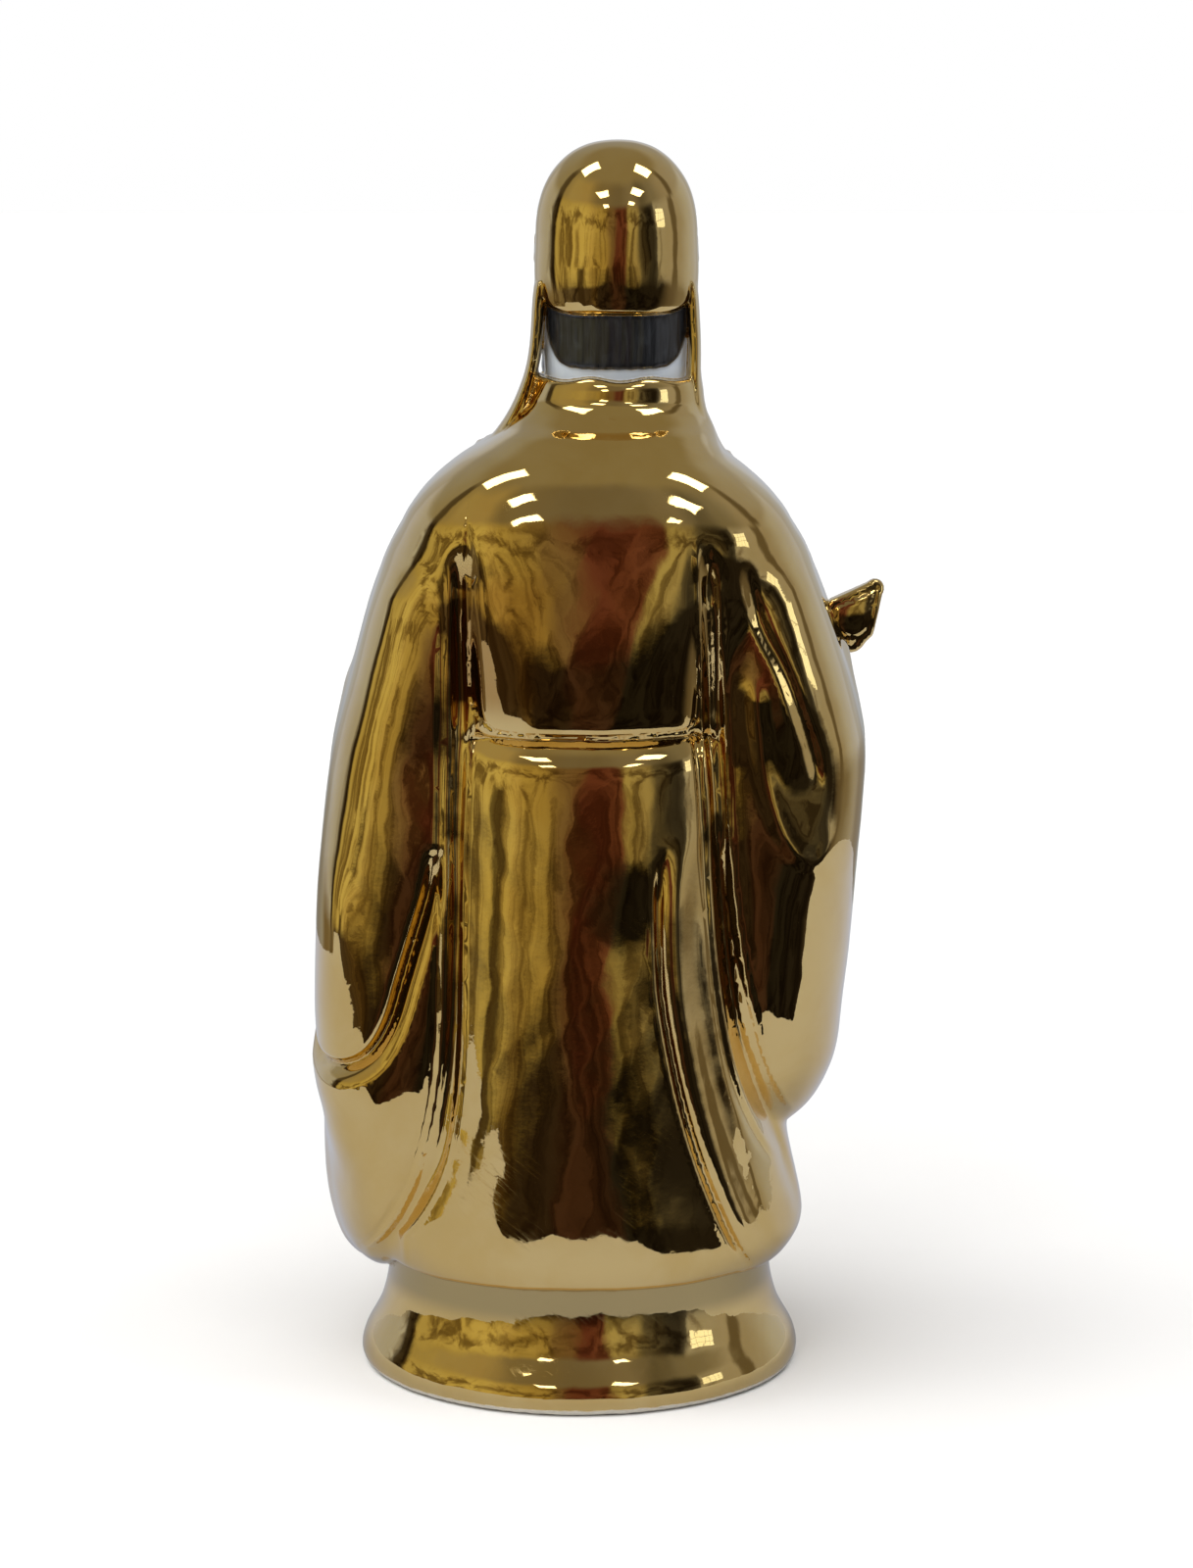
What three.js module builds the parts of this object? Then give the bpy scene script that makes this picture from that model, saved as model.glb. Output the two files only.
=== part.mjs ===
// A standing court official in gold-lustred porcelain, about 300 mm tall: a smooth domed
// cap with lappets, a long robe with wide hanging sleeves, a sceptre with a cloud-shaped
// head across the chest, and a flared round plinth, all slip-cast as one piece.
// Millimetres, +Z up. The figure faces -Y; his right hand is towards -X.
import * as THREE from 'three';

// ---------------------------------------------------------------- sizes (mm)
const HEIGHT = 300;
const BASE_X = 4.3;
const BASE_Y = 1.0;
const BASE_A = 54.6;
const BASE_DEPTH = 0.87;
const HEM_Z = 29.5;
const BELT_Z = 163.3;
const COLLAR_Z = 244.4;
const HEAD_X = -4.8;
const HEAD_Y = -3.0;
const CAP_A = 19.6;
const CAP_B = 19.8;
const CAP_DOME_Z = 278;
const CAP_RIM_Z = 259.6;
const HAIR_A = 17.7;
const NECK_A = 17.3;
const CHIN_Z = 237;
const EYE_Z = 256.6;

// ---------------------------------------------------------------- how finely the solid is cut
const CELL = 1.65;           // spacing of the sampling lattice at the robe
const CELL_HEAD = 1.05;      // and at the head
const TRIANGLES = 9700;      // facets left on the finished solid
const CENTRE_X = -0.93;      // middle of the figure's outline, moved to the axis
const CENTRE_Y = -3.73;

// ---------------------------------------------------------------- small maths
const { exp, sqrt, sin, cos } = Math;
const absv = Math.abs, mn = Math.min, mx = Math.max, atan2v = Math.atan2;
const pw = Math.pow, rnd = Math.round, sgn = Math.sign;
const sq = v => v * v;
const hyp2 = (a, b) => sqrt(a * a + b * b);
const clip = (v, a, b) => mn(mx(v, a), b);
const bump = u => exp(-mn(u * u, 30));
function sstep(a, b, x) { const t = clip((x - a) / (b - a), 0, 1); return t * t * (3 - 2 * t); }
function win(x, a, b, f) { return sstep(a - f, a, x) * (1 - sstep(b, b + f, x)); }
// rounded union and intersection of two distances
function smin(a, b, k) { const h = mx(k - absv(a - b), 0) / k; return mn(a, b) - h * h * k * 0.25; }
function smax(a, b, k) { const h = mx(k - absv(a - b), 0) / k; return mx(a, b) + h * h * k * 0.25; }

// A smooth monotone curve through stations [z, value, value, ...]; flat beyond its ends.
function loft(rows) {
  rows = rows.slice().sort((p, q) => p[0] - q[0]);
  const n = rows.length, z = rows.map(r => r[0]), cols = rows[0].length - 1;
  const slopes = [];
  for (let c = 1; c <= cols; c++) {
    const h = [], d = [], m = new Array(n).fill(0);
    for (let i = 0; i < n - 1; i++) { h[i] = z[i + 1] - z[i]; d[i] = (rows[i + 1][c] - rows[i][c]) / h[i]; }
    for (let i = 1; i < n - 1; i++) if (d[i - 1] * d[i] > 0) {
      const w1 = 2 * h[i] + h[i - 1], w2 = h[i] + 2 * h[i - 1];
      m[i] = (w1 + w2) / (w1 / d[i - 1] + w2 / d[i]);
    }
    m[0] = d[0]; m[n - 1] = d[n - 2];
    slopes.push(m);
  }
  return zz => {
    const t = clip(zz, z[0], z[n - 1]);
    let k = 0;
    while (k < n - 2 && t > z[k + 1]) k++;
    const h = z[k + 1] - z[k], s = (t - z[k]) / h, s2 = s * s, s3 = s2 * s, out = [];
    for (let c = 1; c <= cols; c++) {
      const m = slopes[c - 1];
      out.push((2 * s3 - 3 * s2 + 1) * rows[k][c] + (s3 - 2 * s2 + s) * h * m[k]
        + (3 * s2 - 2 * s3) * rows[k + 1][c] + (s3 - s2) * h * m[k + 1]);
    }
    return cols > 1 ? out : out[0];
  };
}
function ell(x, y, z, a, b, c) {
  const X = x / a, Y = y / b, Z = z / c;
  const k0 = sqrt(X * X + Y * Y + Z * Z) + 1e-6;
  const k1 = sqrt(sq(X / a) + sq(Y / b) + sq(Z / c)) + 1e-6;
  return k0 * (k0 - 1) / k1;
}
// a tapered rod with round ends
function cap2(x, y, z, ax, ay, az, bx, by, bz, ra, rb) {
  const ux = bx - ax, uy = by - ay, uz = bz - az, px = x - ax, py = y - ay, pz = z - az;
  const t = clip((px * ux + py * uy + pz * uz) / (ux * ux + uy * uy + uz * uz), 0, 1);
  return sqrt(sq(px - t * ux) + sq(py - t * uy) + sq(pz - t * uz)) - (ra + (rb - ra) * t);
}
function tube(x, y, z, pts, ra, rb) {
  const n = pts.length - 1;
  let d = 1e9;
  for (let i = 0; i < n; i++) {
    const p = pts[i], q = pts[i + 1];
    const e = cap2(x, y, z, p[0], p[1], p[2], q[0], q[1], q[2], ra + (rb - ra) * i / n, ra + (rb - ra) * (i + 1) / n);
    d = i ? smin(d, e, 0.6) : e;
  }
  return d;
}
// radial distance to a rounded section: half-width a, depth bb behind and bf in front
function sellipse(x, y, cx, cy, a, bb, bf, n, sh) {
  const dy = y - cy, dx = x - cx + sh * dy;
  const u = absv(dx) / a, v = absv(dy) / (dy > 0 ? bb : bf);
  const rho = n === 2 ? sqrt(u * u + v * v) : pw(pw(u, n) + pw(v, n) + 1e-12, 1 / n);
  const r = sqrt(dx * dx + dy * dy);
  return r - r / mx(rho, 1e-3);
}
function fin(x, y, ax, ay, bx, by, r) {
  const ux = bx - ax, uy = by - ay;
  const t = clip(((x - ax) * ux + (y - ay) * uy) / (ux * ux + uy * uy + 1e-6), 0, 1);
  return hyp2(x - ax - t * ux, y - ay - t * uy) - r;
}
function rbox2(x, z, hx, hz, r) {
  const qx = absv(x) - hx + r, qz = absv(z) - hz + r;
  return hyp2(mx(qx, 0), mx(qz, 0)) + mn(mx(qx, qz), 0) - r;
}
// signed distance to an open line in a plane, positive on its left
function pline(x, z, pts) {
  let best = 1e9, bd = 1e9;
  for (let i = 0; i < pts.length - 1; i++) {
    const [ax, az] = pts[i], ux = pts[i + 1][0] - ax, uz = pts[i + 1][1] - az, px = x - ax, pz = z - az;
    const t = clip((px * ux + pz * uz) / (ux * ux + uz * uz), 0, 1);
    const d = hyp2(px - t * ux, pz - t * uz);
    if (d < bd) { bd = d; best = ux * pz - uz * px >= 0 ? d : -d; }
  }
  return best;
}

// ---------------------------------------------------------------- stations
const PLINTH = loft([[-2, BASE_A-2],
  [0, BASE_A-1.4],
  [1.0, BASE_A-0.4],
  [3, BASE_A],
  [5.5, BASE_A-0.5],
  [8, BASE_A-1.6],
  [11, BASE_A-3.4],
  [14, BASE_A-4.9],
  [20, BASE_A-6.6],
  [26, BASE_A-7.3],
  [36, BASE_A-7.4]]);
const TORSO = loft([[158, 2, 40, 41.4, 36],
  [168, 2, 40, 42.2, 36],
  [178, 1.5, 41.5, 42.7, 35.5],
  [188, 1, 45.5, 42.5, 35],
  [197, 0, 49.2, 41.8, 34.5],
  [203.6, -0.3, 49.2, 41.0, 34],
  [209, -0.2, 47.3, 40.1, 33],
  [216, 0.05, 43.0, 38.4, 31.3],
  [220.7, 0.3, 38.4, 36.7, 29.5],
  [224, 0.35, 34.3, 34.8, 28],
  [226, 0.4, 31.5, 32.75, 27],
  [228, -0.5, 28.9, 30.5, 25.7],
  [229.5, -1.2, 26.9, 28.75, 24.6],
  [231, -2.0, 25.2, 26.9, 23],
  [232, -2.6, 24.0, 25.2, 22],
  [236, -4.2, 18, 15, 14]]);
const SKIRT = loft([[26, 4.0, 46.6, 42.2, 42.4],
  [30, 3.6, 50.0, 45.2, 44.8],
  [34, 3.2, 52.8, 46.8, 46.2],
  [38, 3, 54.4, 47.4, 46.8],
  [44, 3.2, 53.6, 47.4, 46.6],
  [50, 3.2, 52.2, 47.1, 46],
  [60, 3, 49.8, 46.7, 44.8],
  [80, 2.5, 46.2, 45.8, 42.4],
  [110, 2.2, 42.8, 44.1, 38.8],
  [130, 2, 41.6, 42.8, 37.2],
  [146, 2, 41.1, 41.9, 36.5],
  [153, 2, 40.8, 41.4, 36.3],
  [156.5, 2, 40.6, 40.7, 36.1],
  [159, 2, 40.4, 39.6, 36],
  [161.3, 2, 40, 38.0, 35.9],
  [163, 2, 39.7, 36.6, 35.7],
  [166, 2, 38.8, 34.0, 35.5]]);
const SL_L = loft([[22.8, 53.4, -1, 0.6, 3, 3],
  [25.6, 53.9, -1, 4.0, 12, 11],
  [30, 54.5, -1, 7.9, 21, 18],
  [38, 54.4, -1, 11.3, 29, 23],
  [50, 53.5, -1, 13.7, 35, 27],
  [65, 52.2, -1.5, 15.2, 39, 30.5],
  [77, 51.9, -2, 16.9, 39.5, 32.5],
  [92, 52, -2.5, 17.6, 39.5, 34],
  [119, 50.5, -3, 17.5, 39, 34.5],
  [137, 49.6, -3, 17.2, 38.5, 34],
  [155, 48, -3, 16.6, 37.5, 33],
  [172, 44.4, -2, 15.4, 36.5, 31.5],
  [185, 41.7, -1, 14.8, 35, 30],
  [198, 39, 0, 13.2, 32, 27.5],
  [204, 36, 0, 12.4, 29, 25],
  [210, 31, 0, 10, 24, 20]]);
const SL_R = loft([[58.5, -43.5, -5, 1.0, 3, 3],
  [61, -44, -5, 5.5, 13, 12],
  [65, -44.5, -5, 9.5, 20, 19],
  [71, -45, -5, 12.5, 27, 24],
  [77, -45, -4, 14.4, 31, 27],
  [83, -45, -4, 15.3, 34, 29],
  [92, -45, -4, 16.1, 36.5, 31],
  [101, -45.5, -4, 16.7, 37.5, 32],
  [119, -46.5, -4, 17.2, 38, 33.5],
  [137, -47.4, -4, 17.5, 38, 34],
  [154, -48.3, -4, 17.8, 37.5, 33.5],
  [163, -47.2, -3, 17.0, 36.8, 33],
  [172, -45.6, -2, 16.2, 36, 31.5],
  [185, -42.2, -1, 15.4, 34.5, 30],
  [198, -39, 0, 13.8, 32, 27.5],
  [204, -36.3, 0, 12.6, 29, 25],
  [210, -31, 0, 10, 24, 20]]);
const FIN_L = loft([[24, 57, -2, 54, -10, 1.5],
  [30, 58, -2, 52, -16, 5],
  [45, 58, -3, 47, -24, 7],
  [70, 57, -4, 40, -31, 8],
  [100, 55, -6, 31.5, -36, 8.6],
  [130, 52, -8, 24, -39, 9.4],
  [148, 50, -8, 20, -40.5, 10.2],
  [160, 50, -8, 21, -39.5, 9.5]]);
const FIN_R = loft([[60, -45, -5, -43, -14, 1.5],
  [65, -46, -5, -41, -22, 4],
  [75, -47, -5, -38, -28, 6.5],
  [92, -48, -6, -34.5, -32, 8],
  [115, -50, -7, -30, -36, 8.8],
  [140, -50, -8, -26.5, -39, 9.6],
  [160, -51, -8, -25, -40, 10.2],
  [172, -51, -8, -26, -39, 9.5]]);
const CAP = loft([[256, 16.4, 16.2],
  [259, 17.9, 17.8],
  [260.5, 18.7, 18.6],
  [262.5, 19.2, 19.2],
  [266, 19.5, 19.6],
  [269, CAP_A+0.05, CAP_B-0.1],
  [272, CAP_A, CAP_B],
  [278, CAP_A-0.3, CAP_B-0.2],
  [290, CAP_A-0.4, CAP_B-0.3]]);
const COLLAR = loft([[227, -2.6, -1.9, 26.8, 33.5],
  [229, -2.7, -1.9, 26.2, 31.15],
  [231, -2.9, -1.85, 25.5, 28.8],
  [232, -3.0, -1.8, 25.1, 27.6],
  [233, -3.1, -1.85, 24.6, 26.5],
  [234, -3.3, -1.95, 23.9, 25.45],
  [235, -3.5, -2.1, 23.2, 24.5],
  [236, -3.7, -2.2, 22.5, 23.35],
  [237, -3.9, -2.35, 22.0, 22.35],
  [238, -4.1, -2.5, 21.6, 21.5],
  [239, -4.27, -2.58, 21.25, 20.98],
  [240.5, -4.5, -2.7, 20.9, 20.75],
  [243, -4.8, -2.9, 20.1, 20.5],
  [246, -4.8, -3, 18.8, 18.8]]);
const LAP_L = loft([[222, 28.4, -6, 2.0, 6],
  [226, 25.6, -4, 2.3, 6.4],
  [229.2, 23.4, -3, 2.4, 6.6],
  [234.8, 19.4, -1.5, 2.3, 6.6],
  [240.5, 17.1, -0.5, 1.8, 6.5],
  [246.1, 15.4, 0, 1.6, 6.4],
  [251.7, 14.5, 0, 1.55, 6.4],
  [257.3, 14.1, 0, 1.55, 6.4],
  [264, 13.6, 0, 1.6, 6.4],
  [268, 12.8, 0, 1.6, 6]]);
const LAP_R = loft([[222, -30.5, -6, 2.0, 6],
  [226, -28.6, -4, 2.3, 6.4],
  [229.2, -26.6, -3, 2.3, 6.6],
  [234.8, -24.2, -1.5, 2.2, 6.6],
  [240.5, -23.4, -0.5, 1.85, 6.5],
  [246.1, -23.3, 0, 1.65, 6.4],
  [251.7, -23.4, 0, 1.6, 6.4],
  [257.3, -23.1, 0, 1.6, 6.4],
  [264, -22.7, 0, 1.6, 6.4],
  [268, -22.0, 0, 1.6, 6]]);
const BEARD = loft([[174, 0.8, 0.6, -41.2, 1.0],
  [178, 0.6, 2.4, -41.0, 2.2],
  [184, 0.2, 5.0, -40.2, 3.4],
  [192, -0.6, 7.6, -38.6, 4.6],
  [202, -1.6, 9.6, -36, 5.4],
  [212, -2.8, 10.8, -32.6, 6.0],
  [222, -3.8, 11.4, -28.4, 6.6],
  [231, -4.6, 11.6, -24, 7.2],
  [238, -4.8, 11.4, -20.2, 7.0],
  [244, -4.8, 9.4, -17.4, 5.6]]);
const X_L1 = loft([[34, 56],
  [37.6, 53],
  [45.7, 47.8],
  [56.7, 43],
  [68.8, 39.4],
  [85.7, 36.9],
  [104.9, 36],
  [152, 35],
  [198.3, 34.1],
  [205, 33.8]]);
const X_L2 = loft([[40, 46.5],
  [44.5, 43.1],
  [50.6, 39.5],
  [59.1, 35.9],
  [71.3, 33.3],
  [85.7, 31.9],
  [128.6, 31.3],
  [166, 30],
  [195.5, 30.2],
  [205, 30.4]]);
const X_R0 = loft([[54, -45.5],
  [66.4, -38.9],
  [80.9, -33.4],
  [104.9, -29.3],
  [128.6, -27.3],
  [152.1, -26],
  [164.9, -24.7],
  [189, -24],
  [205, -23.4]]);
const X_R2 = loft([[62, -50],
  [73.7, -44.7],
  [85.7, -39.9],
  [104.9, -35.6],
  [128.6, -32.4],
  [152.1, -31.0],
  [175.3, -29.9],
  [193.7, -28.9],
  [205, -28.2]]);
const X_V1 = loft([[34, -36],
  [41.5, -32.1],
  [61.6, -24.2],
  [78.5, -19.5],
  [90.5, -17.1],
  [104.9, -14.9],
  [121.5, -14.4],
  [135.7, -15.3],
  [145.1, -18.7],
  [152, -22]]);
const X_F1 = loft([[36, -42],
  [45.7, -37.9],
  [68.8, -31.2],
  [92.9, -26.4],
  [116.8, -23.9],
  [140.4, -23.5]]);
const X_V2 = loft([[40, -51],
  [56.7, -44.8],
  [73.7, -38.8],
  [92.9, -33.3],
  [116.8, -29.9],
  [140.4, -28.4]]);
const C1 = [[38.6, 134], [39.7, 125.7], [42.8, 114.9], [46.4, 102.9], [49.4, 93.2], [53.7, 86], [59.6, 82.3], [66, 81.5], [73, 83]];
const RU = [[-36.6, 180], [-37.4, 170], [-39.7, 152.9], [-43.3, 141.1], [-47.3, 134.5], [-51.5, 131.1], [-55.5, 133.5], [-60, 141]];
const RC = [[-34, 204], [-38.5, 189], [-44, 178], [-48.5, 166], [-51.5, 156], [-53, 146]];
const BAND_U = [[-22, 238], [-17, 224], [-9, 208], [-1, 196]];
const BAND_O = [[14, 240], [12, 226], [5, 209], [-5, 193], [-16, 180], [-27, 170]];
const LAPF_L = [[24, 229], [23.5, 217], [21.5, 203], [20, 189]];
const LAPF_R = [[-28, 229], [-27, 217], [-25, 205], [-24, 192]];
// ---------------------------------------------------------------- robe
function robe(x, y, z, fine) {
  let cx, a, yb, yf, w, tor, hem, sk, flute, core, lx, ly, la, lbb, lbf, k, sl, rx, ry, ra, rbb, rbf, sr, ax, ay, bx, by, r, fl, ex, ey, fr, ml, mr, ks, d, mb, wide, x1, x2, up, g, x3, x4, q, v1, s, ms, ph, mf, t;
  [cx, a, yb, yf] = TORSO(z);
  w = sstep(196, 214, z);
  tor = (1-w)*sellipse(x, y, cx, 0, a, yb, yf, 2.35, 0)+w*sellipse(x, y, cx, 0, a, yb, yf, 2.9, 0);
  tor = smax(tor, z-236, 2);
  tor = smax(tor, 162.4-z-2.5*sstep(2, -8, y), 4);
  [cx, a, yb, yf] = SKIRT(z);
  hem = HEM_Z+0.2+0.9*sin(x*0.21+0.6)*sstep(6, -10, y);
  sk = sellipse(x, y, cx, 0, a, yb, yf, 2.35, 0);
  flute = sin((x-4)*0.36/(0.75+0.55*sstep(150, 30, z)));
  sk = sk-1.5*flute*sstep(150, 70, z)*sstep(-4, -20, y);
  sk = smax(sk, hem-z, 3.2);
  sk = smax(sk, z-166, 3);
  core = smin(tor, sk, 1.2);
  [lx, ly, la, lbb, lbf] = SL_L(z);
  k = win(z, 66, 194, 18)*sstep(-18, 2, y);
  sl = sellipse(x, y, lx-5.5*k, ly, la+5.5*k, lbb-1.6*k, lbf, 2.3, 0.13-0.10*k);
  sl = (1-k)*sl+k*sellipse(x, y, lx-5.5*k, ly, la+5.5*k, lbb-1.6*k, lbf, 3.3, 0.13-0.10*k);
  sl = smax(smax(sl, z-208, 5), 24-z, 3);
  [rx, ry, ra, rbb, rbf] = SL_R(z);
  k = win(z, 84, 196, 16)*sstep(-18, 2, y);
  sr = sellipse(x, y, rx+5.5*k, ry, ra+5.5*k, rbb-1.5*k, rbf, 2.3, 0.09*k-0.13);
  w = k*sstep(116, 138, z);
  sr = (1-w)*sr+w*sellipse(x, y, rx+5.5*k, ry, ra+5.5*k, rbb-1.5*k, rbf, 3.0, 0.09*k-0.13);
  sr = smax(smax(sr, z-208, 5), 59.5-z, 3);
  [ax, ay, bx, by, r] = FIN_L(z);
  fl = fin(x, y, ax, ay, bx, by, r);
  fl = smax(smax(fl, z-(161+0.22*(x-20)), 7), 25-z, 3);
  [ax, ay, ex, ey, r] = FIN_R(z);
  fr = fin(x, y, ax, ay, ex, ey, r);
  fr = smax(smax(fr, z-(175-0.1*(x+26)), 7), 61-z, 3);
  // sleeve mouths along the front edge of the hanging cloth
  ml = hyp2(x-bx+5.5, y-by+3.2)-(4.8-2.2*sstep(110, 50, z));
  ml = smax(smax(ml, z-156, 5), 56-z, 6);
  mr = hyp2(x-ex-5.5, y-ey+3.2)-(4.8-2.0*sstep(120, 80, z));
  mr = smax(smax(mr, z-169, 5), 86-z, 6);
  fl = smax(fl, -ml, 1.4);
  fr = smax(fr, -mr, 1.4);
  sl = smin(sl, fl, 9);
  sr = smin(sr, fr, 9);
  ks = 5+5*sstep(186, 208, z);
  d = smin(core, sl, ks);
  d = smin(d, sr, ks);
  // drapery lines of the back
  mb = sstep(4, 16, y);
  wide = 1.45-0.45*fine;
  x1 = X_L1(z);
  x2 = X_L2(z);
  up = sstep(158, 172, z);
  w = absv(x1-x2);
  g = (0.6+1.6*up)*bump((x-x2-0.9)/(1.5+0.3*w))*win(z, 40, 197, 12);
  g = g-0.50*bump((x-x1)/(1.0*wide))*win(z, 36, 196, 9);
  g = g-0.55*bump((x-x2)/(0.9*wide))*win(z, 38, 198, 9);
  g = g+0.45*bump((x-0.5*(x1+x2))/(0.2*w+0.2))*win(z, 40, 186, 10);
  g = g+0.40*bump((x-x1-1.9)/(0.85*wide))*win(z, 38, 182, 12);
  x3 = X_R0(z);
  x4 = X_R2(z);
  w = absv(x3-x4);
  g = g+(0.6+1.0*up)*bump((x-0.5*(x3+x4))/(1.2+0.36*w))*win(z, 70, 199, 12);
  g = g-0.55*bump((x-x3)/(0.9*wide))*win(z, 62, 202, 9);
  g = g-0.50*bump((x-x4)/(1.0*wide))*win(z, 66, 196, 9);
  g = g-0.25*fine*bump((x-0.5*(x3+x4))/0.6)*win(z, 90, 192, 10);
  g = g+0.40*bump((x-x3-1.9)/(0.85*wide))*win(z, 66, 160, 12);
  // pointed tops of the pleats
  q = absv(x-29.4-0.05*(z-203))-1.5*sstep(216, 204, z)*sstep(198, 201, z);
  g = g+0.5*fine*sstep(0.5, -0.9, q)*win(z, 199, 216, 2);
  q = absv(x+26.2)-1.2*sstep(207, 198, z)*sstep(192, 196, z);
  g = g+0.4*fine*sstep(0.5, -0.8, q)*win(z, 193, 207, 2);
  v1 = X_V1(z);
  g = g+1.6*bump((x-v1)/(1.2*wide))*win(z, 42, 124, 14);
  g = g+0.9*sstep(0, 3, x-v1)*sstep(26, 3, x-v1)*win(z, 42, 112, 24);
  g = g-1.3*bump((x-v1+4.6)/3.2)*win(z, 46, 122, 22);
  g = g-0.8*bump((x-X_F1(z)+3)/3.0)*win(z, 46, 116, 22);
  g = g+1.3*bump((x-X_V2(z))/(1.6*wide))*win(z, 52, 126, 18);
  // blouse rolled over the belt
  q = rbox2(x-2.9, z-(BELT_Z+0.9*sq((x-2.9)/27)+44), 27.0, 44, 6.5+2.5*clip(x/20, -1, 1));
  w = sqrt(sq(q)+0.16*wide);
  g = g+1.1*exp(-w/(1.8*wide))*sstep(0.3, -0.3, q)*sstep(192, 174, z);
  g = g+0.5*exp(-w/(0.7*wide))*sstep(-0.3, 0.3, q)*win(x, -23, 29, 4)*sstep(BELT_Z+3, BELT_Z, z);
  d = d+g*mb;
  // folds of the sleeves behind
  s = pline(x, z-5.5*sstep(22, -10, y)*sstep(48, 60, x), C1);
  g = 2.6*bump(s/(1.5*wide))-1.5*sstep(-1, -5, s)*sstep(-22, -6, s);
  g = g*win(x, 36, 80, 5)*win(z, 74, 124, 15);
  g = g-2.3*bump((x-63.5)/5.0)*bump((z-117)/17)*sstep(2, 18, y);
  g = g*sstep(-12, 12, y);
  d = d+g*sstep(26, 34, x);
  s = pline(x, z, RU);
  g = -0.7*bump(s/2.4)*win(z, 134, 170, 8)*sstep(-60, -53, x)+1.5*bump((x+50.5)/6)*bump((z-152)/14);
  q = pline(x, z, RC);
  g = g+0.8*bump(q/1.5)*win(z, 156, 196, 8)-0.4*sstep(0.8, 3, q)*sstep(13, 3, q)*win(z, 156, 196, 9);
  g = g*sstep(-10, 8, y);
  d = d+g*sstep(-30, -38, x);
  // drape folds of the sleeves at the sides
  ms = sstep(36, 50, absv(x-2))*sstep(-5, -20, y)*win(z, 92, 160, 22);
  ph = (z-0.024*sq(y+1)-0.06*y*sgn(x)-146)/23;
  d = d+1.7*bump(sin(3.1416*ph)/0.42)*ms;
  // long folds of the hanging cloth in front
  mf = sstep(-10, -22, y);
  t = (x-bx)*0.62+(by-y)*0.2;
  g = 1.5*bump((t-5.2)/(1.3*wide))+1.2*bump((t-10.2)/(1.5*wide));
  d = d+g*mf*win(z, 60, 132, 22)*sstep(0, 2, x-bx);
  t = (ex-x)*0.62+(ey-y)*0.2;
  g = 1.5*bump((t-5.2)/(1.3*wide))+1.2*bump((t-10.2)/(1.5*wide));
  d = d+g*mf*win(z, 84, 140, 22)*sstep(0, 2, ex-x);
  // crossed bands of the robe
  mf = sstep(-8, -16, y);
  s = absv(pline(x, z, BAND_U));
  g = -1.6*sstep(5.4, 4.2, s)+0.5*fine*bump((s-3.1)/0.6);
  g = g*win(z, 200, 240, 4);
  s = absv(pline(x, z, BAND_O));
  w = sstep(7.5, 6.0, s);
  g = g*(1-w)+(-2.6*sstep(5.6, 4.4, s)+0.6*fine*bump((s-3.2)/0.6)+0.5*fine*bump((s-6.3)/0.9))*w;
  // fronts of the cap's lappets
  s = pline(x, z, LAPF_L);
  w = sstep(6.2, 5.0, absv(s))*win(z, 192, 228, 4);
  g = g*(1-w)-(1.9-0.5*fine*bump(s/0.8)-0.5*fine*bump((absv(s)-3.8)/0.6))*w;
  s = pline(x, z, LAPF_R);
  w = sstep(6.2, 5.0, absv(s))*win(z, 195, 228, 4);
  g = g*(1-w)-(1.9-0.5*fine*bump(s/0.8)-0.5*fine*bump((absv(s)-3.8)/0.6))*w;
  d = d+g*mf;
  return d;
}
function girdle(x, y, z, fine) {
  let cx, a, yb, yf, b, u, q, p, low, rr, th, lobes, rw, waves;
  // belt with plaques and the apron hanging from it
  [cx, a, yb, yf] = SKIRT(mx(z, 150));
  b = sellipse(x, y, cx, 0, a, yb, yf, 2.35, 0)-2.0;
  b = smax(b, absv(z-BELT_Z)-4.6, 1.2);
  b = smax(b, y+6, 2);
  u = x-2-12*rnd((x-2)/12);
  q = rbox2(u, z-BELT_Z, 4.4, 3.6, 1.4);
  b = b-0.9*sstep(0.4, -0.6, q)+0.5*fine*bump((q+1.3)/0.4);
  [cx, a, yb, yf] = SKIRT(z);
  p = sellipse(x, y, cx, 0, a, yb, yf, 2.35, 0)-2.2;
  low = 52+5.5*sq((x-2)/13);
  q = rbox2(x-2, z-(0.5*(low+160)), 12.5, 0.5*(160-low), 2.5);
  p = p+0.8*fine*bump((q+2.6)/0.6);
  rr = hyp2(x-2, z-112);
  th = atan2v(z-112, x-2);
  lobes = 6.6+0.9*cos(6*th);
  p = p-0.8*sstep(0.5, -0.5, rr-lobes)+fine*(0.7*bump((rr-lobes+1.5)/0.45)+0.7*bump((rr-2.0)/0.4));
  rw = sin((x-2)*0.62)*1.4;
  waves = bump((z-74-rw)/0.8)+bump((z-69-rw)/0.8)+bump((z-64-rw)/0.8);
  p = p+0.55*fine*waves*sstep(10, 8.6, absv(x-2));
  p = smax(p, q, 1.2);
  p = smax(p, y+6, 2);
  return smin(b, p, 0.6);
}
function collar(x, y, z, fine) {
  let cx, cy, a, b, d, top, c2;
  [cx, cy, a, b] = COLLAR(z);
  d = sellipse(x, y-cy, cx, 0, a, b, mn(b, 22.2), 2, 0);
  top = COLLAR_Z+0.45*sin(x*0.45+1)-9.5*sstep(-6, -19, y);
  d = smax(d, z-top, 1.5);
  d = smax(d, 229-z, 1);
  c2 = sellipse(x, y-HEAD_Y, HEAD_X, 0, 14, 14, 16, 2, 0);
  return smax(d, -smax(c2, 238-z, 1), 1.0);
}
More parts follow.
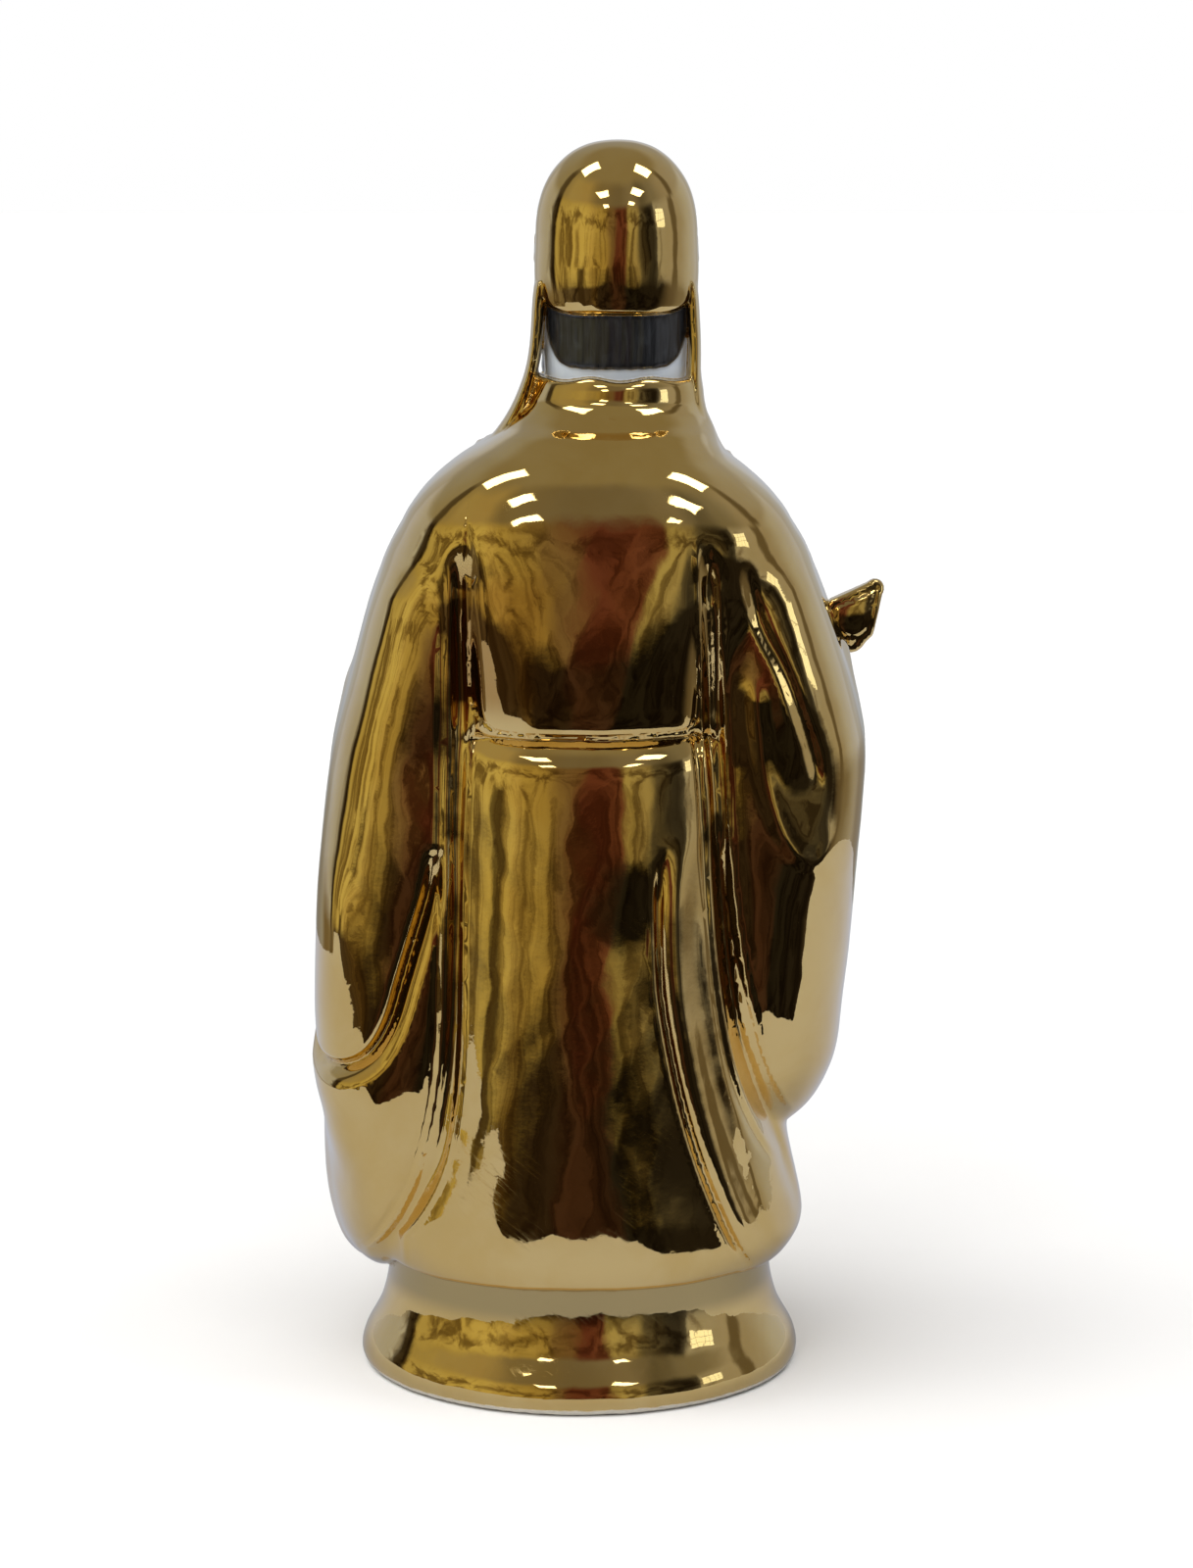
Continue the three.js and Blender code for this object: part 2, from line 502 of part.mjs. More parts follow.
function lappets(x, y, z, fine) {
  let cx, cy, a, b, l, r, d;
  [cx, cy, a, b] = LAP_L(z);
  l = sellipse(x, y-cy, cx, 0, a, b, b, 2.3, 0)+0.7*fine*bump((x-cx+0.2)/0.55)*sstep(0, 3, y);
  [cx, cy, a, b] = LAP_R(z);
  r = sellipse(x, y-cy, cx, 0, a, b, b, 2.3, 0)+0.7*fine*bump((x-cx-0.2)/0.55)*sstep(0, 3, y);
  d = mn(l, r);
  return smax(smax(d, z-267, 2), 222-z, 3);
}
function cap(x, y, z, fine) {
  let a, b, X, Y, t, rp, rho, L, d, front, rim, bz, w, band, q, pl, top;
  [a, b] = CAP(z);
  X = x-HEAD_X;
  Y = y-HEAD_Y;
  t = mx(z-CAP_DOME_Z, 0)/(HEIGHT-CAP_DOME_Z);
  rp = sqrt(sq(X/a)+sq(Y/b));
  rho = pw(pw(rp, 2.25)+pw(t, 2.25)+1e-9, 0.4444);
  L = sqrt(sq(X)+sq(Y)+sq(mx(z-CAP_DOME_Z, 0)));
  d = L-L/mx(rho, 0.02);
  front = sstep(4, -14, Y);
  rim = CAP_RIM_Z+8.8*front+4.2*sq(X/19)*sq(sq(X/19))*(1-front);
  d = smax(d, rim-z, 2.0);
  // turned-up band and plaque of the front
  bz = z-(CAP_RIM_Z+10.2+4.4);
  w = sstep(2, -8, Y);
  band = smax(d-1.3, absv(bz)-4.4+3.2*(1-w), 1.2)+2*(1-w);
  q = rbox2(X, z-275.6, 4.2, 5.2, 2.2);
  pl = smax(smax(d-2.4, q, 0.8), Y, 1);
  pl = pl+0.6*fine*bump((q+1.5)/0.5);
  top = d+0.5*fine*bump(X/0.7)*sstep(276, 282, z)*sstep(-2, -8, Y);
  return smin(smin(top, band, 0.5), pl, 0.5);
}
function hair(x, y, z, fine) {
  let X, Y, d, low, st;
  X = x-HEAD_X;
  Y = y-HEAD_Y;
  d = sellipse(X, Y, 0, 0, HAIR_A, HAIR_A-0.7, HAIR_A-0.5, 2, 0);
  low = 246.9+8.5*sq(sq(sq(X/16.8)))+6*sstep(2, -8, Y);
  d = smax(d, low-z, 1.6);
  d = smax(d, absv(X)-16.5-3*sstep(2, -8, Y), 1.2);
  d = smax(d, z-266, 1);
  d = smax(d, -Y-9, 1);
  st = sin(X*2.2+0.6*sin(z*0.5))*0.05*fine;
  return d+st;
}
function neck(x, y, z, fine) {
  let X, Y, d;
  X = x-HEAD_X;
  Y = y-HEAD_Y;
  d = sellipse(X, Y, 0, 0, NECK_A, NECK_A-1.3, NECK_A-2.4, 2, 0);
  return smax(smax(d, z-262, 2), 236-z, 2);
}
function face(x, y, z, fine) {
  let X, A, d;
  X = x-HEAD_X;
  A = absv(X);
  d = ell(X, y+7.5, z-256, 15.6, 14.6, 20);
  d = smin(d, ell(X, y+9.5, z-245.5, 13.0, 12.4, 11.5), 5);
  d = smin(d, ell(A-7.2, y+17, z-250.2, 5.2, 4.6, 4.8), 4);
  d = smin(d, cap2(A, y, z, 0, -21.2, 261.4, 8.2, -19.2, 261.2, 2.0, 1.6), 3);
  d = smax(d, -ell(A-6.3, y+22.6, z-EYE_Z-0.1, 4.3, 2.3, 2.7), 2.2);
  d = smin(d, cap2(X, y, z, 0, -20.8, 259.6, 0, -25.0, 250.4, 1.5, 2.0), 1.8);
  d = smin(d, ell(X, y+25.0, z-249.8, 2.5, 2.4, 2.2), 1.2);
  d = smin(d, ell(A-2.7, y+23.0, z-249.3, 1.6, 2.0, 1.6), 0.9);
  d = smin(d, ell(A-6.3, y+19.0, z-EYE_Z, 3.9, 2.7, 2.4), 0.6);
  d = smin(d, cap2(A, y, z, 2.9, -21.1, EYE_Z+0.5, 6.0, -21.9, EYE_Z+1.9, 0.55, 0.65), 0.7);
  d = smin(d, cap2(A, y, z, 6.0, -21.9, EYE_Z+1.9, 9.7, -19.4, EYE_Z+0.2, 0.65, 0.5), 0.7);
  d = smin(d, cap2(A, y, z, 3.2, -21.0, EYE_Z-0.9, 9.2, -19.6, EYE_Z-1.0, 0.45, 0.45), 0.9);
  d = smin(d, ell(A-1.5, y+22.4, z-244.9, 2.3, 1.5, 0.95), 0.6);
  d = smin(d, ell(X, y+22.0, z-243.1, 2.7, 1.7, 1.15), 0.6);
  d = smax(d, -cap2(A, y, z, 0, -24.0, 244.0, 3.4, -22.8, 244.1, 0.35, 0.25), 0.4);
  return d;
}
function ears(x, y, z, fine) {
  let A, e;
  A = absv(x-HEAD_X);
  e = ell(A-16.2, y+6.5, z-254, 2.3, 3.9, 6.6);
  e = smin(e, ell(A-16.0, y+7.6, z-246.6, 2.1, 2.7, 3.4), 2);
  e = smax(e, -ell(A-18.3, y+8.0, z-254.6, 1.5, 2.3, 4.2), 0.9);
  return e;
}
function beard(x, y, z, fine) {
  let cx, a, cy, b, sway, X, d, u, lock, H, A, m;
  [cx, a, cy, b] = BEARD(z);
  sway = 1.2*sin((z-174)*0.11)*sstep(235, 200, z);
  X = x-cx-sway;
  d = sellipse(X, y-cy, 0, 0, a, b, b, 2.1, 0);
  d = smax(smax(d, z-244, 3), 172-z, 2);
  u = X/mx(a, 2);
  lock = cos(u*11+1.1*sin(z*0.13)+0.4*sin(z*0.37));
  d = d+(0.6+0.2*fine)*lock*sstep(-1, -4, y-cy)*sstep(242, 232, z)*sstep(174, 186, z);
  d = d+0.16*fine*sin(u*46+1.6*sin(z*0.21+u*3))*sstep(242, 236, z);
  // along the jaw
  H = x-HEAD_X;
  A = absv(H);
  d = smin(d, cap2(A, y, z, 10.4, -15.2, 240.5, 14.2, -10.5, 250.5, 3.2, 1.6), 3);
  d = smin(d, ell(H, y+20.4, z-239.3, 5.2, 3.0, 2.6), 2);
  // moustache
  m = cap2(A, y, z, 0.9, -24.4, 246.9, 4.4, -24.3, 245.9, 0.9, 1.25);
  m = smin(m, cap2(A, y, z, 4.4, -24.3, 245.9, 7.6, -23.8, 241.4, 1.25, 1.1), 0.8);
  m = smin(m, cap2(A, y, z, 7.6, -23.8, 241.4, 8.6, -27.2, 232, 1.1, 0.9), 0.8);
  m = smin(m, cap2(A, y, z, 8.6, -27.2, 232, 7.6, -32.2, 221, 0.9, 0.45), 0.8);
  return smin(d, m, 0.5);
}
// ---------------------------------------------------------------- hands and sceptre
const SHAFT = [[-61, -37.8, 181], [-54, -42, 179.3], [-46, -45.5, 177.5], [-34, -49.2, 173], [-22, -50.8, 168.5], [-10, -51.2, 163.5], [2, -51.4, 157], [14, -51.2, 149.5], [26, -49.6, 140.5], [36, -46.6, 131], [43, -43, 121]];
function sceptre(x, y, z, fine) {
  let d, e, X, Z, r, p, q, h, rim;
  d = tube(x, y, z, SHAFT, 2.5, 2.3);
  e = ell(x-43.5, y+42.6, z-119.5, 3.4, 3.2, 4.6);
  d = smin(d, e, 1.5);
  // cloud-shaped head set on its flat, pointed away from the shaft
  X = x+63.7;
  Z = z-180.1;
  r = (y+36.5-0.15*X)/1.011;
  p = -0.64*X+0.768*Z;
  q = absv(0.768*X+0.64*Z);
  h = hyp2(p+3.2, q-3.4)-3.7;
  h = smin(h, cap2(p, q, 0*p, 1.0, 0, 0, 10.4, 0, 0, 7.2, 2.3), 1.4);
  rim = h;
  h = smax(h, absv(r)-3.5+0.017*(sq(p-2)+sq(q)), 1.8);
  h = h+0.5*fine*bump((rim+1.8)/0.6)*sstep(1.2, 2.4, absv(r))*sstep(1, -1, r);
  h = h+0.35*fine*bump((rim+2.0)/0.9)*sstep(0.8, 1.8, r);
  h = smin(h, ell(p, q, r+3.2, 4.2, 3.2, 1.6), 0.8);
  return smin(d, h, 1.2);
}
function hand(x, y, z, s) {
  let d, t, fx, fz, f;
  // a closed hand round the shaft; s is +1 for the left hand
  d = ell(x, y, z, 6.4, 5.2, 6.6);
  d = smin(d, cap2(x, y, z, s*7, 5, 1.5, s*2, 1, 0.5, 4.6, 4.8), 3);
  for (let i = 0; i < 4; i++) {
    t = i-1.5;
    fx = -s*1.5+s*t*1.4*0.2;
    fz = -t*3.0+0.3;
    f = cap2(x, y, z, s*3.6, -3.8, fz+0.5, -s*3.2, -6.4, fz-0.3, 1.65, 1.55);
    f = smin(f, cap2(x, y, z, -s*3.2, -6.4, fz-0.3, -s*5.4, -3.0, fz-0.8, 1.55, 1.35), 0.7);
    d = smin(d, f, 0.55);
  }
  d = smin(d, cap2(x, y, z, s*3.5, -3.0, 5.6, -s*2.6, -5.6, 6.4, 1.9, 1.55), 0.8);
  return d;
}
function hands(x, y, z, fine) {
  let l, r;
  l = hand(x-13.2, y+47.5, z-149.5, 1);
  r = hand(x+21.5, y+47.2, z-167.5, -1);
  return mn(l, r);
}
function shoes(x, y, z, fine) {
  let s, t;
  s = ell(x-17, y+41.5, z-27.6, 8.2, 10.2, 5.6);
  t = ell(x+9, y+41.5, z-27.6, 8.2, 10.2, 5.6);
  return smax(mn(s, t), 26.6-z, 1);
}
function plinth(x, y, z, fine) {
  let a, d;
  a = PLINTH(z);
  d = sellipse(x, y-BASE_Y, BASE_X, 0, a, a*BASE_DEPTH, a*BASE_DEPTH, 2, 0);
  d = smax(d, z-31, 1);
  return d;
}

// ---------------------------------------------------------------- the whole figure
// Each part is only worked out near its own box [lowest corner, highest corner].
const PARTS = [
  [robe, [-68, -55, 20], [72, 50, 238], 0],
  [girdle, [-45, -42, 48], [48, -4, 172], 0.8],
  [collar, [-34, -28, 226], [28, 31, 247], 2.4],
  [neck, [-23, -20, 235], [13, 14, 263], 0.8],
  [lappets, [-34, -14, 220], [32, 9, 268], 1.6],
  [face, [-22, -29, 232], [13, 9, 278], 1.5],
  [ears, [-25, -13, 241], [16, 0, 262], 1.0],
  [hair, [-24, -14, 245], [14, 16, 267], 0.7],
  [cap, [-27, -29, 260], [18, 19, 301], 0.8],
  [beard, [-22, -46, 170], [14, -6, 254], 0.7],
  [hands, [-36, -58, 136], [28, -34, 180], 1.2],
  [sceptre, [-74, -56, 112], [50, -24, 198], 1.0],
  [shoes, [-20, -54, 25], [28, -30, 35], 0.8],
  [plinth, [-52, -48, -3], [61, 50, 33], 1.2],
];
const REACH = 6;
function figure(x, y, z) {
  let d = 1e9;
  for (const [part, lo, hi, k] of PARTS) {
    const qx = mx(lo[0] - x, x - hi[0], 0), qy = mx(lo[1] - y, y - hi[1], 0), qz = mx(lo[2] - z, z - hi[2], 0);
    const away = sqrt(qx * qx + qy * qy + qz * qz) + 0.5 * REACH;
    const e = away < 1.5 * REACH ? part(x, y, z, 0) : away;
    d = k ? smin(d, e, k) : e;
  }
  return mx(d, -z);
}

// ---------------------------------------------------------------- facets
// A lattice whose cells shrink towards the head; every cell is cut into six tetrahedra
// and the surface is the zero level through them, so it is always closed.
function surface() {
  const zs = [-1.5 * CELL], sc = [1];
  while (zs[zs.length - 1] < HEIGHT + 3) {
    const s = 1 + (CELL_HEAD / CELL - 1) * sstep(205, 245, zs[zs.length - 1]);
    zs.push(zs[zs.length - 1] + CELL * s);
    sc.push(s);
  }
  const nx = Math.floor(154 / CELL) + 3, ny = Math.floor(118 / CELL) + 3, nz = zs.length;
  const at = (i, j, k) => {
    const f = clip((zs[k] - 200) / 45, 0, 1);
    return [(i - (nx - 1) / 2) * CELL * sc[k] - 5 * f, (j - (ny - 1) / 2) * CELL * sc[k] - 3 * f, zs[k]];
  };
  const N = (i, j, k) => (k * ny + j) * nx + i;
  const value = new Float32Array(nx * ny * nz);
  for (let k = 0; k < nz; k++) for (let j = 0; j < ny; j++) for (let i = 0; i < nx; i++) {
    const p = at(i, j, k), v = figure(p[0], p[1], p[2]);
    value[N(i, j, k)] = absv(v) < 1e-3 ? 1e-3 : v;
  }
  const point = [], tri = [], made = new Map(), total = nx * ny * nz;
  const onEdge = (a, b) => {
    if (a > b) [a, b] = [b, a];
    const key = a * total + b;
    if (made.has(key)) return made.get(key);
    const t = clip(value[a] / (value[a] - value[b]), 0.04, 0.96);
    const P = at(a % nx, Math.floor(a / nx) % ny, Math.floor(a / (nx * ny)));
    const Q = at(b % nx, Math.floor(b / nx) % ny, Math.floor(b / (nx * ny)));
    point.push([P[0] + t * (Q[0] - P[0]), P[1] + t * (Q[1] - P[1]), P[2] + t * (Q[2] - P[2])]);
    made.set(key, point.length - 1);
    return point.length - 1;
  };
  const face3 = (a, b, c, inside, outside) => {
    const A = point[a], B = point[b], C = point[c];
    const u = [B[0] - A[0], B[1] - A[1], B[2] - A[2]], v = [C[0] - A[0], C[1] - A[1], C[2] - A[2]];
    const n = [u[1] * v[2] - u[2] * v[1], u[2] * v[0] - u[0] * v[2], u[0] * v[1] - u[1] * v[0]];
    const o = n[0] * (outside[0] - inside[0]) + n[1] * (outside[1] - inside[1]) + n[2] * (outside[2] - inside[2]);
    tri.push(o >= 0 ? [a, b, c] : [a, c, b]);
  };
  const where = n => at(n % nx, Math.floor(n / nx) % ny, Math.floor(n / (nx * ny)));
  const orders = [[1, 2, 4], [1, 4, 2], [2, 1, 4], [2, 4, 1], [4, 1, 2], [4, 2, 1]];
  for (let k = 0; k < nz - 1; k++) for (let j = 0; j < ny - 1; j++) for (let i = 0; i < nx - 1; i++) {
    const c = [];
    let inside = 0;
    for (let b = 0; b < 8; b++) {
      c.push(N(i + (b & 1), j + (b >> 1 & 1), k + (b >> 2 & 1)));
      if (value[c[b]] < 0) inside++;
    }
    if (inside === 0 || inside === 8) continue;
    for (const o of orders) {
      const t = [c[0], c[o[0]], c[o[0] | o[1]], c[7]];
      const I = t.filter(n => value[n] < 0), O = t.filter(n => value[n] >= 0);
      if (!I.length || !O.length) continue;
      const mi = [0, 0, 0], mo = [0, 0, 0];
      for (const n of I) { const w = where(n); for (let a = 0; a < 3; a++) mi[a] += w[a] / I.length; }
      for (const n of O) { const w = where(n); for (let a = 0; a < 3; a++) mo[a] += w[a] / O.length; }
      if (I.length === 1) face3(onEdge(I[0], O[0]), onEdge(I[0], O[1]), onEdge(I[0], O[2]), mi, mo);
      else if (O.length === 1) face3(onEdge(I[0], O[0]), onEdge(I[1], O[0]), onEdge(I[2], O[0]), mi, mo);
      else {
        const p = onEdge(I[0], O[0]), q = onEdge(I[0], O[1]), r = onEdge(I[1], O[1]), s = onEdge(I[1], O[0]);
        face3(p, q, r, mi, mo);
        face3(p, r, s, mi, mo);
      }
    }
  }
  return { point, tri };
}

// Keeps the one connected body with the largest volume.
function largestBody({ point, tri }) {
  const root = point.map((_, i) => i);
  const find = i => { while (root[i] !== i) { root[i] = root[root[i]]; i = root[i]; } return i; };
  for (const [a, b, c] of tri) { root[find(a)] = find(b); root[find(b)] = find(c); }
  const volume = new Map();
  for (const t of tri) {
    const [A, B, C] = t.map(i => point[i]);
    const v = A[0] * (B[1] * C[2] - B[2] * C[1]) - A[1] * (B[0] * C[2] - B[2] * C[0]) + A[2] * (B[0] * C[1] - B[1] * C[0]);
    const r = find(t[0]);
    volume.set(r, (volume.get(r) || 0) + v / 6);
  }
  const main = [...volume].sort((p, q) => q[1] - p[1])[0][0];
  return { point, tri: tri.filter(t => find(t[0]) === main) };
}

// Merges the edges whose loss changes the form least until `want` facets are left. Facets on
// the head and hands count for more, and no merge may fold a facet over or pinch the surface.
function thin({ point, tri }, want) {
  const P = point.map(p => p.slice()), T = tri.map(t => t.slice());
  const Q = P.map(() => new Float64Array(10)), alive = new Uint8Array(T.length).fill(1);
  const around = P.map(() => new Set());
  const normal = (A, B, C) => {
    const ux = B[0] - A[0], uy = B[1] - A[1], uz = B[2] - A[2], vx = C[0] - A[0], vy = C[1] - A[1], vz = C[2] - A[2];
    return [uy * vz - uz * vy, uz * vx - ux * vz, ux * vy - uy * vx];
  };
  T.forEach((t, f) => {
    const [A, B, C] = t.map(i => P[i]), n = normal(A, B, C), L = Math.hypot(...n) || 1e-12;
    const a = n[0] / L, b = n[1] / L, c = n[2] / L, d = -(a * A[0] + b * A[1] + c * A[2]);
    const zc = (A[2] + B[2] + C[2]) / 3, yc = (A[1] + B[1] + C[1]) / 3;
    const w = L / 2 * (zc > 226 ? 5 : yc < -40 && zc > 100 ? 3 : 1);
    const q = [a * a, a * b, a * c, a * d, b * b, b * c, b * d, c * c, c * d, d * d];
    for (const i of t) { around[i].add(f); for (let m = 0; m < 10; m++) Q[i][m] += w * q[m]; }
  });
  const stamp = new Int32Array(P.length);
  const heap = [];
  const push = e => {
    heap.push(e);
    let i = heap.length - 1;
    while (i && heap[i >> 1].cost > heap[i].cost) { const p = i >> 1; [heap[p], heap[i]] = [heap[i], heap[p]]; i = p; }
  };
  const pop = () => {
    const top = heap[0], last = heap.pop();
    if (heap.length) {
      heap[0] = last;
      let i = 0;
      for (;;) {
        let c = 2 * i;
        if (i === 0) c = 1;
        if (c >= heap.length) break;
        if (c + 1 < heap.length && (i === 0 ? c + 1 <= 1 : true) && heap[c + 1].cost < heap[c].cost) c++;
        if (heap[c].cost >= heap[i].cost) break;
        [heap[c], heap[i]] = [heap[i], heap[c]];
        i = c;
      }
    }
    return top;
  };
  const error = (q, x, y, z) => q[0] * x * x + 2 * q[1] * x * y + 2 * q[2] * x * z + 2 * q[3] * x + q[4] * y * y
    + 2 * q[5] * y * z + 2 * q[6] * y + q[7] * z * z + 2 * q[8] * z + q[9];
  const offer = (u, v) => {
    const q = Q[u].map((a, i) => a + Q[v][i]);
    const A = P[u], B = P[v], mid = [(A[0] + B[0]) / 2, (A[1] + B[1]) / 2, (A[2] + B[2]) / 2];
    let best = mid, cost = error(q, ...mid);
    for (const c of [A, B]) { const e = error(q, ...c); if (e < cost) { cost = e; best = c.slice(); } }
    const det = q[0] * (q[4] * q[7] - q[5] * q[5]) - q[1] * (q[1] * q[7] - q[5] * q[2]) + q[2] * (q[1] * q[5] - q[4] * q[2]);
    const trace = q[0] + q[4] + q[7];
    if (absv(det) > 1e-5 * trace * trace * trace) {
      const r = [-q[3], -q[6], -q[8]];
      const x = (r[0] * (q[4] * q[7] - q[5] * q[5]) - q[1] * (r[1] * q[7] - q[5] * r[2]) + q[2] * (r[1] * q[5] - q[4] * r[2])) / det;
      const y = (q[0] * (r[1] * q[7] - q[5] * r[2]) - r[0] * (q[1] * q[7] - q[5] * q[2]) + q[2] * (q[1] * r[2] - r[1] * q[2])) / det;
      const z = (q[0] * (q[4] * r[2] - r[1] * q[5]) - q[1] * (q[1] * r[2] - r[1] * q[2]) + r[0] * (q[1] * q[5] - q[4] * q[2])) / det;
      const far = Math.hypot(x - mid[0], y - mid[1], z - mid[2]), len = Math.hypot(A[0] - B[0], A[1] - B[1], A[2] - B[2]);
      if (far < 1.5 * len + 0.01) { const e = error(q, x, y, z); if (e < cost) { cost = e; best = [x, y, z]; } }
    }
    const len2 = sq(A[0] - B[0]) + sq(A[1] - B[1]) + sq(A[2] - B[2]);
    push({ cost: mx(cost, 0) + 1e-5 * len2, u, v, best, su: stamp[u], sv: stamp[v] });
  };
  const rim = u => { const s = new Set(); for (const f of around[u]) for (const i of T[f]) if (i !== u) s.add(i); return s; };
  let left = T.length, before = left + 1;
  while (left > want) {
    if (!heap.length) {
      if (left === before) break;
      before = left;
      T.forEach((t, f) => {
        if (alive[f]) for (let e = 0; e < 3; e++) if (t[e] < t[(e + 1) % 3]) offer(t[e], t[(e + 1) % 3]);
      });
    }
    const e = pop();
    if (e.su !== stamp[e.u] || e.sv !== stamp[e.v]) continue;
    const { u, v, best } = e, ru = rim(u), rv = rim(v);
    let shared = 0;
    for (const i of ru) if (rv.has(i)) shared++;
    if (shared !== 2 || ru.size + rv.size < 9) continue;
    let fine = true;
    for (const [w, other] of [[u, v], [v, u]]) {
      for (const f of around[w]) {
        const t = T[f];
        if (t.includes(other)) continue;
        const n0 = normal(P[t[0]], P[t[1]], P[t[2]]);
        const [A, B, C] = t.map(i => i === w ? best : P[i]), n1 = normal(A, B, C);
        const l0 = Math.hypot(...n0), l1 = Math.hypot(...n1);
        const longest = mx(Math.hypot(A[0] - B[0], A[1] - B[1], A[2] - B[2]), Math.hypot(B[0] - C[0], B[1] - C[1], B[2] - C[2]), Math.hypot(C[0] - A[0], C[1] - A[1], C[2] - A[2]));
        if (n0[0] * n1[0] + n0[1] * n1[1] + n0[2] * n1[2] < 0.15 * l0 * l1 || l1 < 0.03 * longest * longest) { fine = false; break; }
      }
      if (!fine) break;
    }
    if (!fine) continue;
    P[u] = best;
    for (let m = 0; m < 10; m++) Q[u][m] += Q[v][m];
    for (const f of around[v]) {
      const t = T[f];
      if (t.includes(u)) { alive[f] = 0; left--; for (const i of t) if (i !== v) around[i].delete(f); }
      else { t[t.indexOf(v)] = u; around[u].add(f); }
    }
    around[v] = new Set();
    stamp[u]++;
    stamp[v]++;
    for (const i of rim(u)) { offer(u, i); }
  }
  const index = new Map(), out = [], faces = [];
  T.forEach((t, f) => {
    if (!alive[f]) return;
    faces.push(t.map(i => {
      if (!index.has(i)) { index.set(i, out.length); out.push(P[i]); }
      return index.get(i);
    }));
  });
  return { point: out, tri: faces };
}

const solid = thin(largestBody(surface()), TRIANGLES);
for (const p of solid.point) p[2] = p[2] < 0.12 ? 0 : mn(p[2], HEIGHT);   // the underside is flat
const geometry = new THREE.BufferGeometry();
geometry.setAttribute('position', new THREE.Float32BufferAttribute(solid.point.flat(), 3));
geometry.setIndex(solid.tri.flat());
geometry.computeVertexNormals();

const gold = new THREE.MeshStandardMaterial({ color: 0xc79a3a, roughness: 0.08, metalness: 1.0 });
const statue = new THREE.Mesh(geometry, gold);
statue.name = 'figure';
statue.position.set(-CENTRE_X, -CENTRE_Y, 0);

const group = new THREE.Group();
group.add(statue);
export default group;
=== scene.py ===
import math
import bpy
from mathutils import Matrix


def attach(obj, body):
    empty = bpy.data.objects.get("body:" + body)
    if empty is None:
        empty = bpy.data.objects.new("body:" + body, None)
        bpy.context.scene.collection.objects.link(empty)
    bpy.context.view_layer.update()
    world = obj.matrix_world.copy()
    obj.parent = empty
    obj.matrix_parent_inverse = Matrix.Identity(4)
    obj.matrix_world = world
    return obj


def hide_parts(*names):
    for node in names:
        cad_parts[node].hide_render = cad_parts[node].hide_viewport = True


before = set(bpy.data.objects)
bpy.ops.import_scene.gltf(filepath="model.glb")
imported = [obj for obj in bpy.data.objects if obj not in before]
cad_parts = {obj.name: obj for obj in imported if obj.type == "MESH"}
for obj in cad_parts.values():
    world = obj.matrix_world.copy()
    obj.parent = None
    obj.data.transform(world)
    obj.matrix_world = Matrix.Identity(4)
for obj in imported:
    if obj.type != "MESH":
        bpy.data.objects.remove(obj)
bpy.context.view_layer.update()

from concurrent.futures import ThreadPoolExecutor
import bpy
import numpy as np
from mathutils import Matrix, Vector

# A standing scholar-official of porcelain with a mirror-bright gold lustre, 300 mm tall.
# It faces -Y and its back faces +Y. Shapes are worked out in millimetres as distances to
# a surface (negative inside), which are then meshed once for the whole casting.
f32 = np.float32
SHIFT = (0.93, 3.73, 0.0)  # millimetres from the shape's own axes to the part's frame

# ---------------------------------------------------------------- curves and operations
def monotone(zs, vs, t):
    """A cubic through stations that doesn't overshoot them."""
    h = np.diff(zs); d = np.diff(vs) / h
    m = np.zeros_like(vs)
    for i in range(1, len(zs) - 1):
        if d[i - 1] * d[i] > 0:
            w1 = 2 * h[i] + h[i - 1]; w2 = h[i] + 2 * h[i - 1]
            m[i] = (w1 + w2) / (w1 / d[i - 1] + w2 / d[i])
    m[0] = d[0]; m[-1] = d[-1]
    k = np.clip(np.searchsorted(zs, t, side="right") - 1, 0, len(zs) - 2)
    s = (t - zs[k]) / h[k]
    return ((2 * s**3 - 3 * s**2 + 1) * vs[k] + (s**3 - 2 * s**2 + s) * h[k] * m[k]
            + (-2 * s**3 + 3 * s**2) * vs[k + 1] + (s**3 - s**2) * h[k] * m[k + 1])


class Tab:
    """A smooth curve through stations [height, value, ...]. It is relaxed over a third of the
    local spacing, so that a mirror finish shows no step at a station, and keeps its end values."""

    N = 1500

    def __init__(self, rows):
        rows = sorted(rows)
        zs = np.array([r[0] for r in rows], float)
        n = self.N
        t = np.linspace(zs[0], zs[-1], n)
        dt = t[1] - t[0]
        gap = np.interp(t, 0.5 * (zs[1:] + zs[:-1]), np.diff(zs))
        s = np.clip(0.36 * gap, 0.25, 6.0)
        pad = min(int(3 * max(s[0], s[-1]) / dt) + 2, n - 2)
        te = np.concatenate([t[0] - dt * np.arange(pad, 0, -1), t, t[-1] + dt * np.arange(1, pad + 1)])
        w = np.exp(-0.5 * ((t[:, None] - te[None, :]) / s[:, None]) ** 2)
        w /= w.sum(1)[:, None]
        self.t0 = f32(t[0]); self.dt = f32(dt)
        self.v = []
        for i in range(1, len(rows[0])):
            v = monotone(zs, np.array([r[i] for r in rows], float), t)
            ve = np.concatenate([2 * v[0] - v[pad:0:-1], v, 2 * v[-1] - v[-2:-pad - 2:-1]])
            self.v.append((w @ ve).astype(f32))

    def __call__(self, z):
        p = np.clip((z - self.t0) / self.dt, 0, self.N - 1.001)
        i = p.astype(np.int32); f = (p - i).astype(f32)
        out = [v[i] * (1 - f) + v[i + 1] * f for v in self.v]
        return out if len(out) > 1 else out[0]


sqrt = np.sqrt; sin = np.sin; cos = np.cos; absv = np.abs; mn = np.minimum; mx = np.maximum
atan2v = np.arctan2; rnd = np.round; pw = np.power; sgn = np.sign; exp = np.exp


def clip(v, a, b): return np.minimum(np.maximum(v, a), b)
def sq(v): return v * v
def hyp2(a, b): return np.sqrt(a * a + b * b)
def bump(u): return np.exp(-np.minimum(u * u, 30.0))


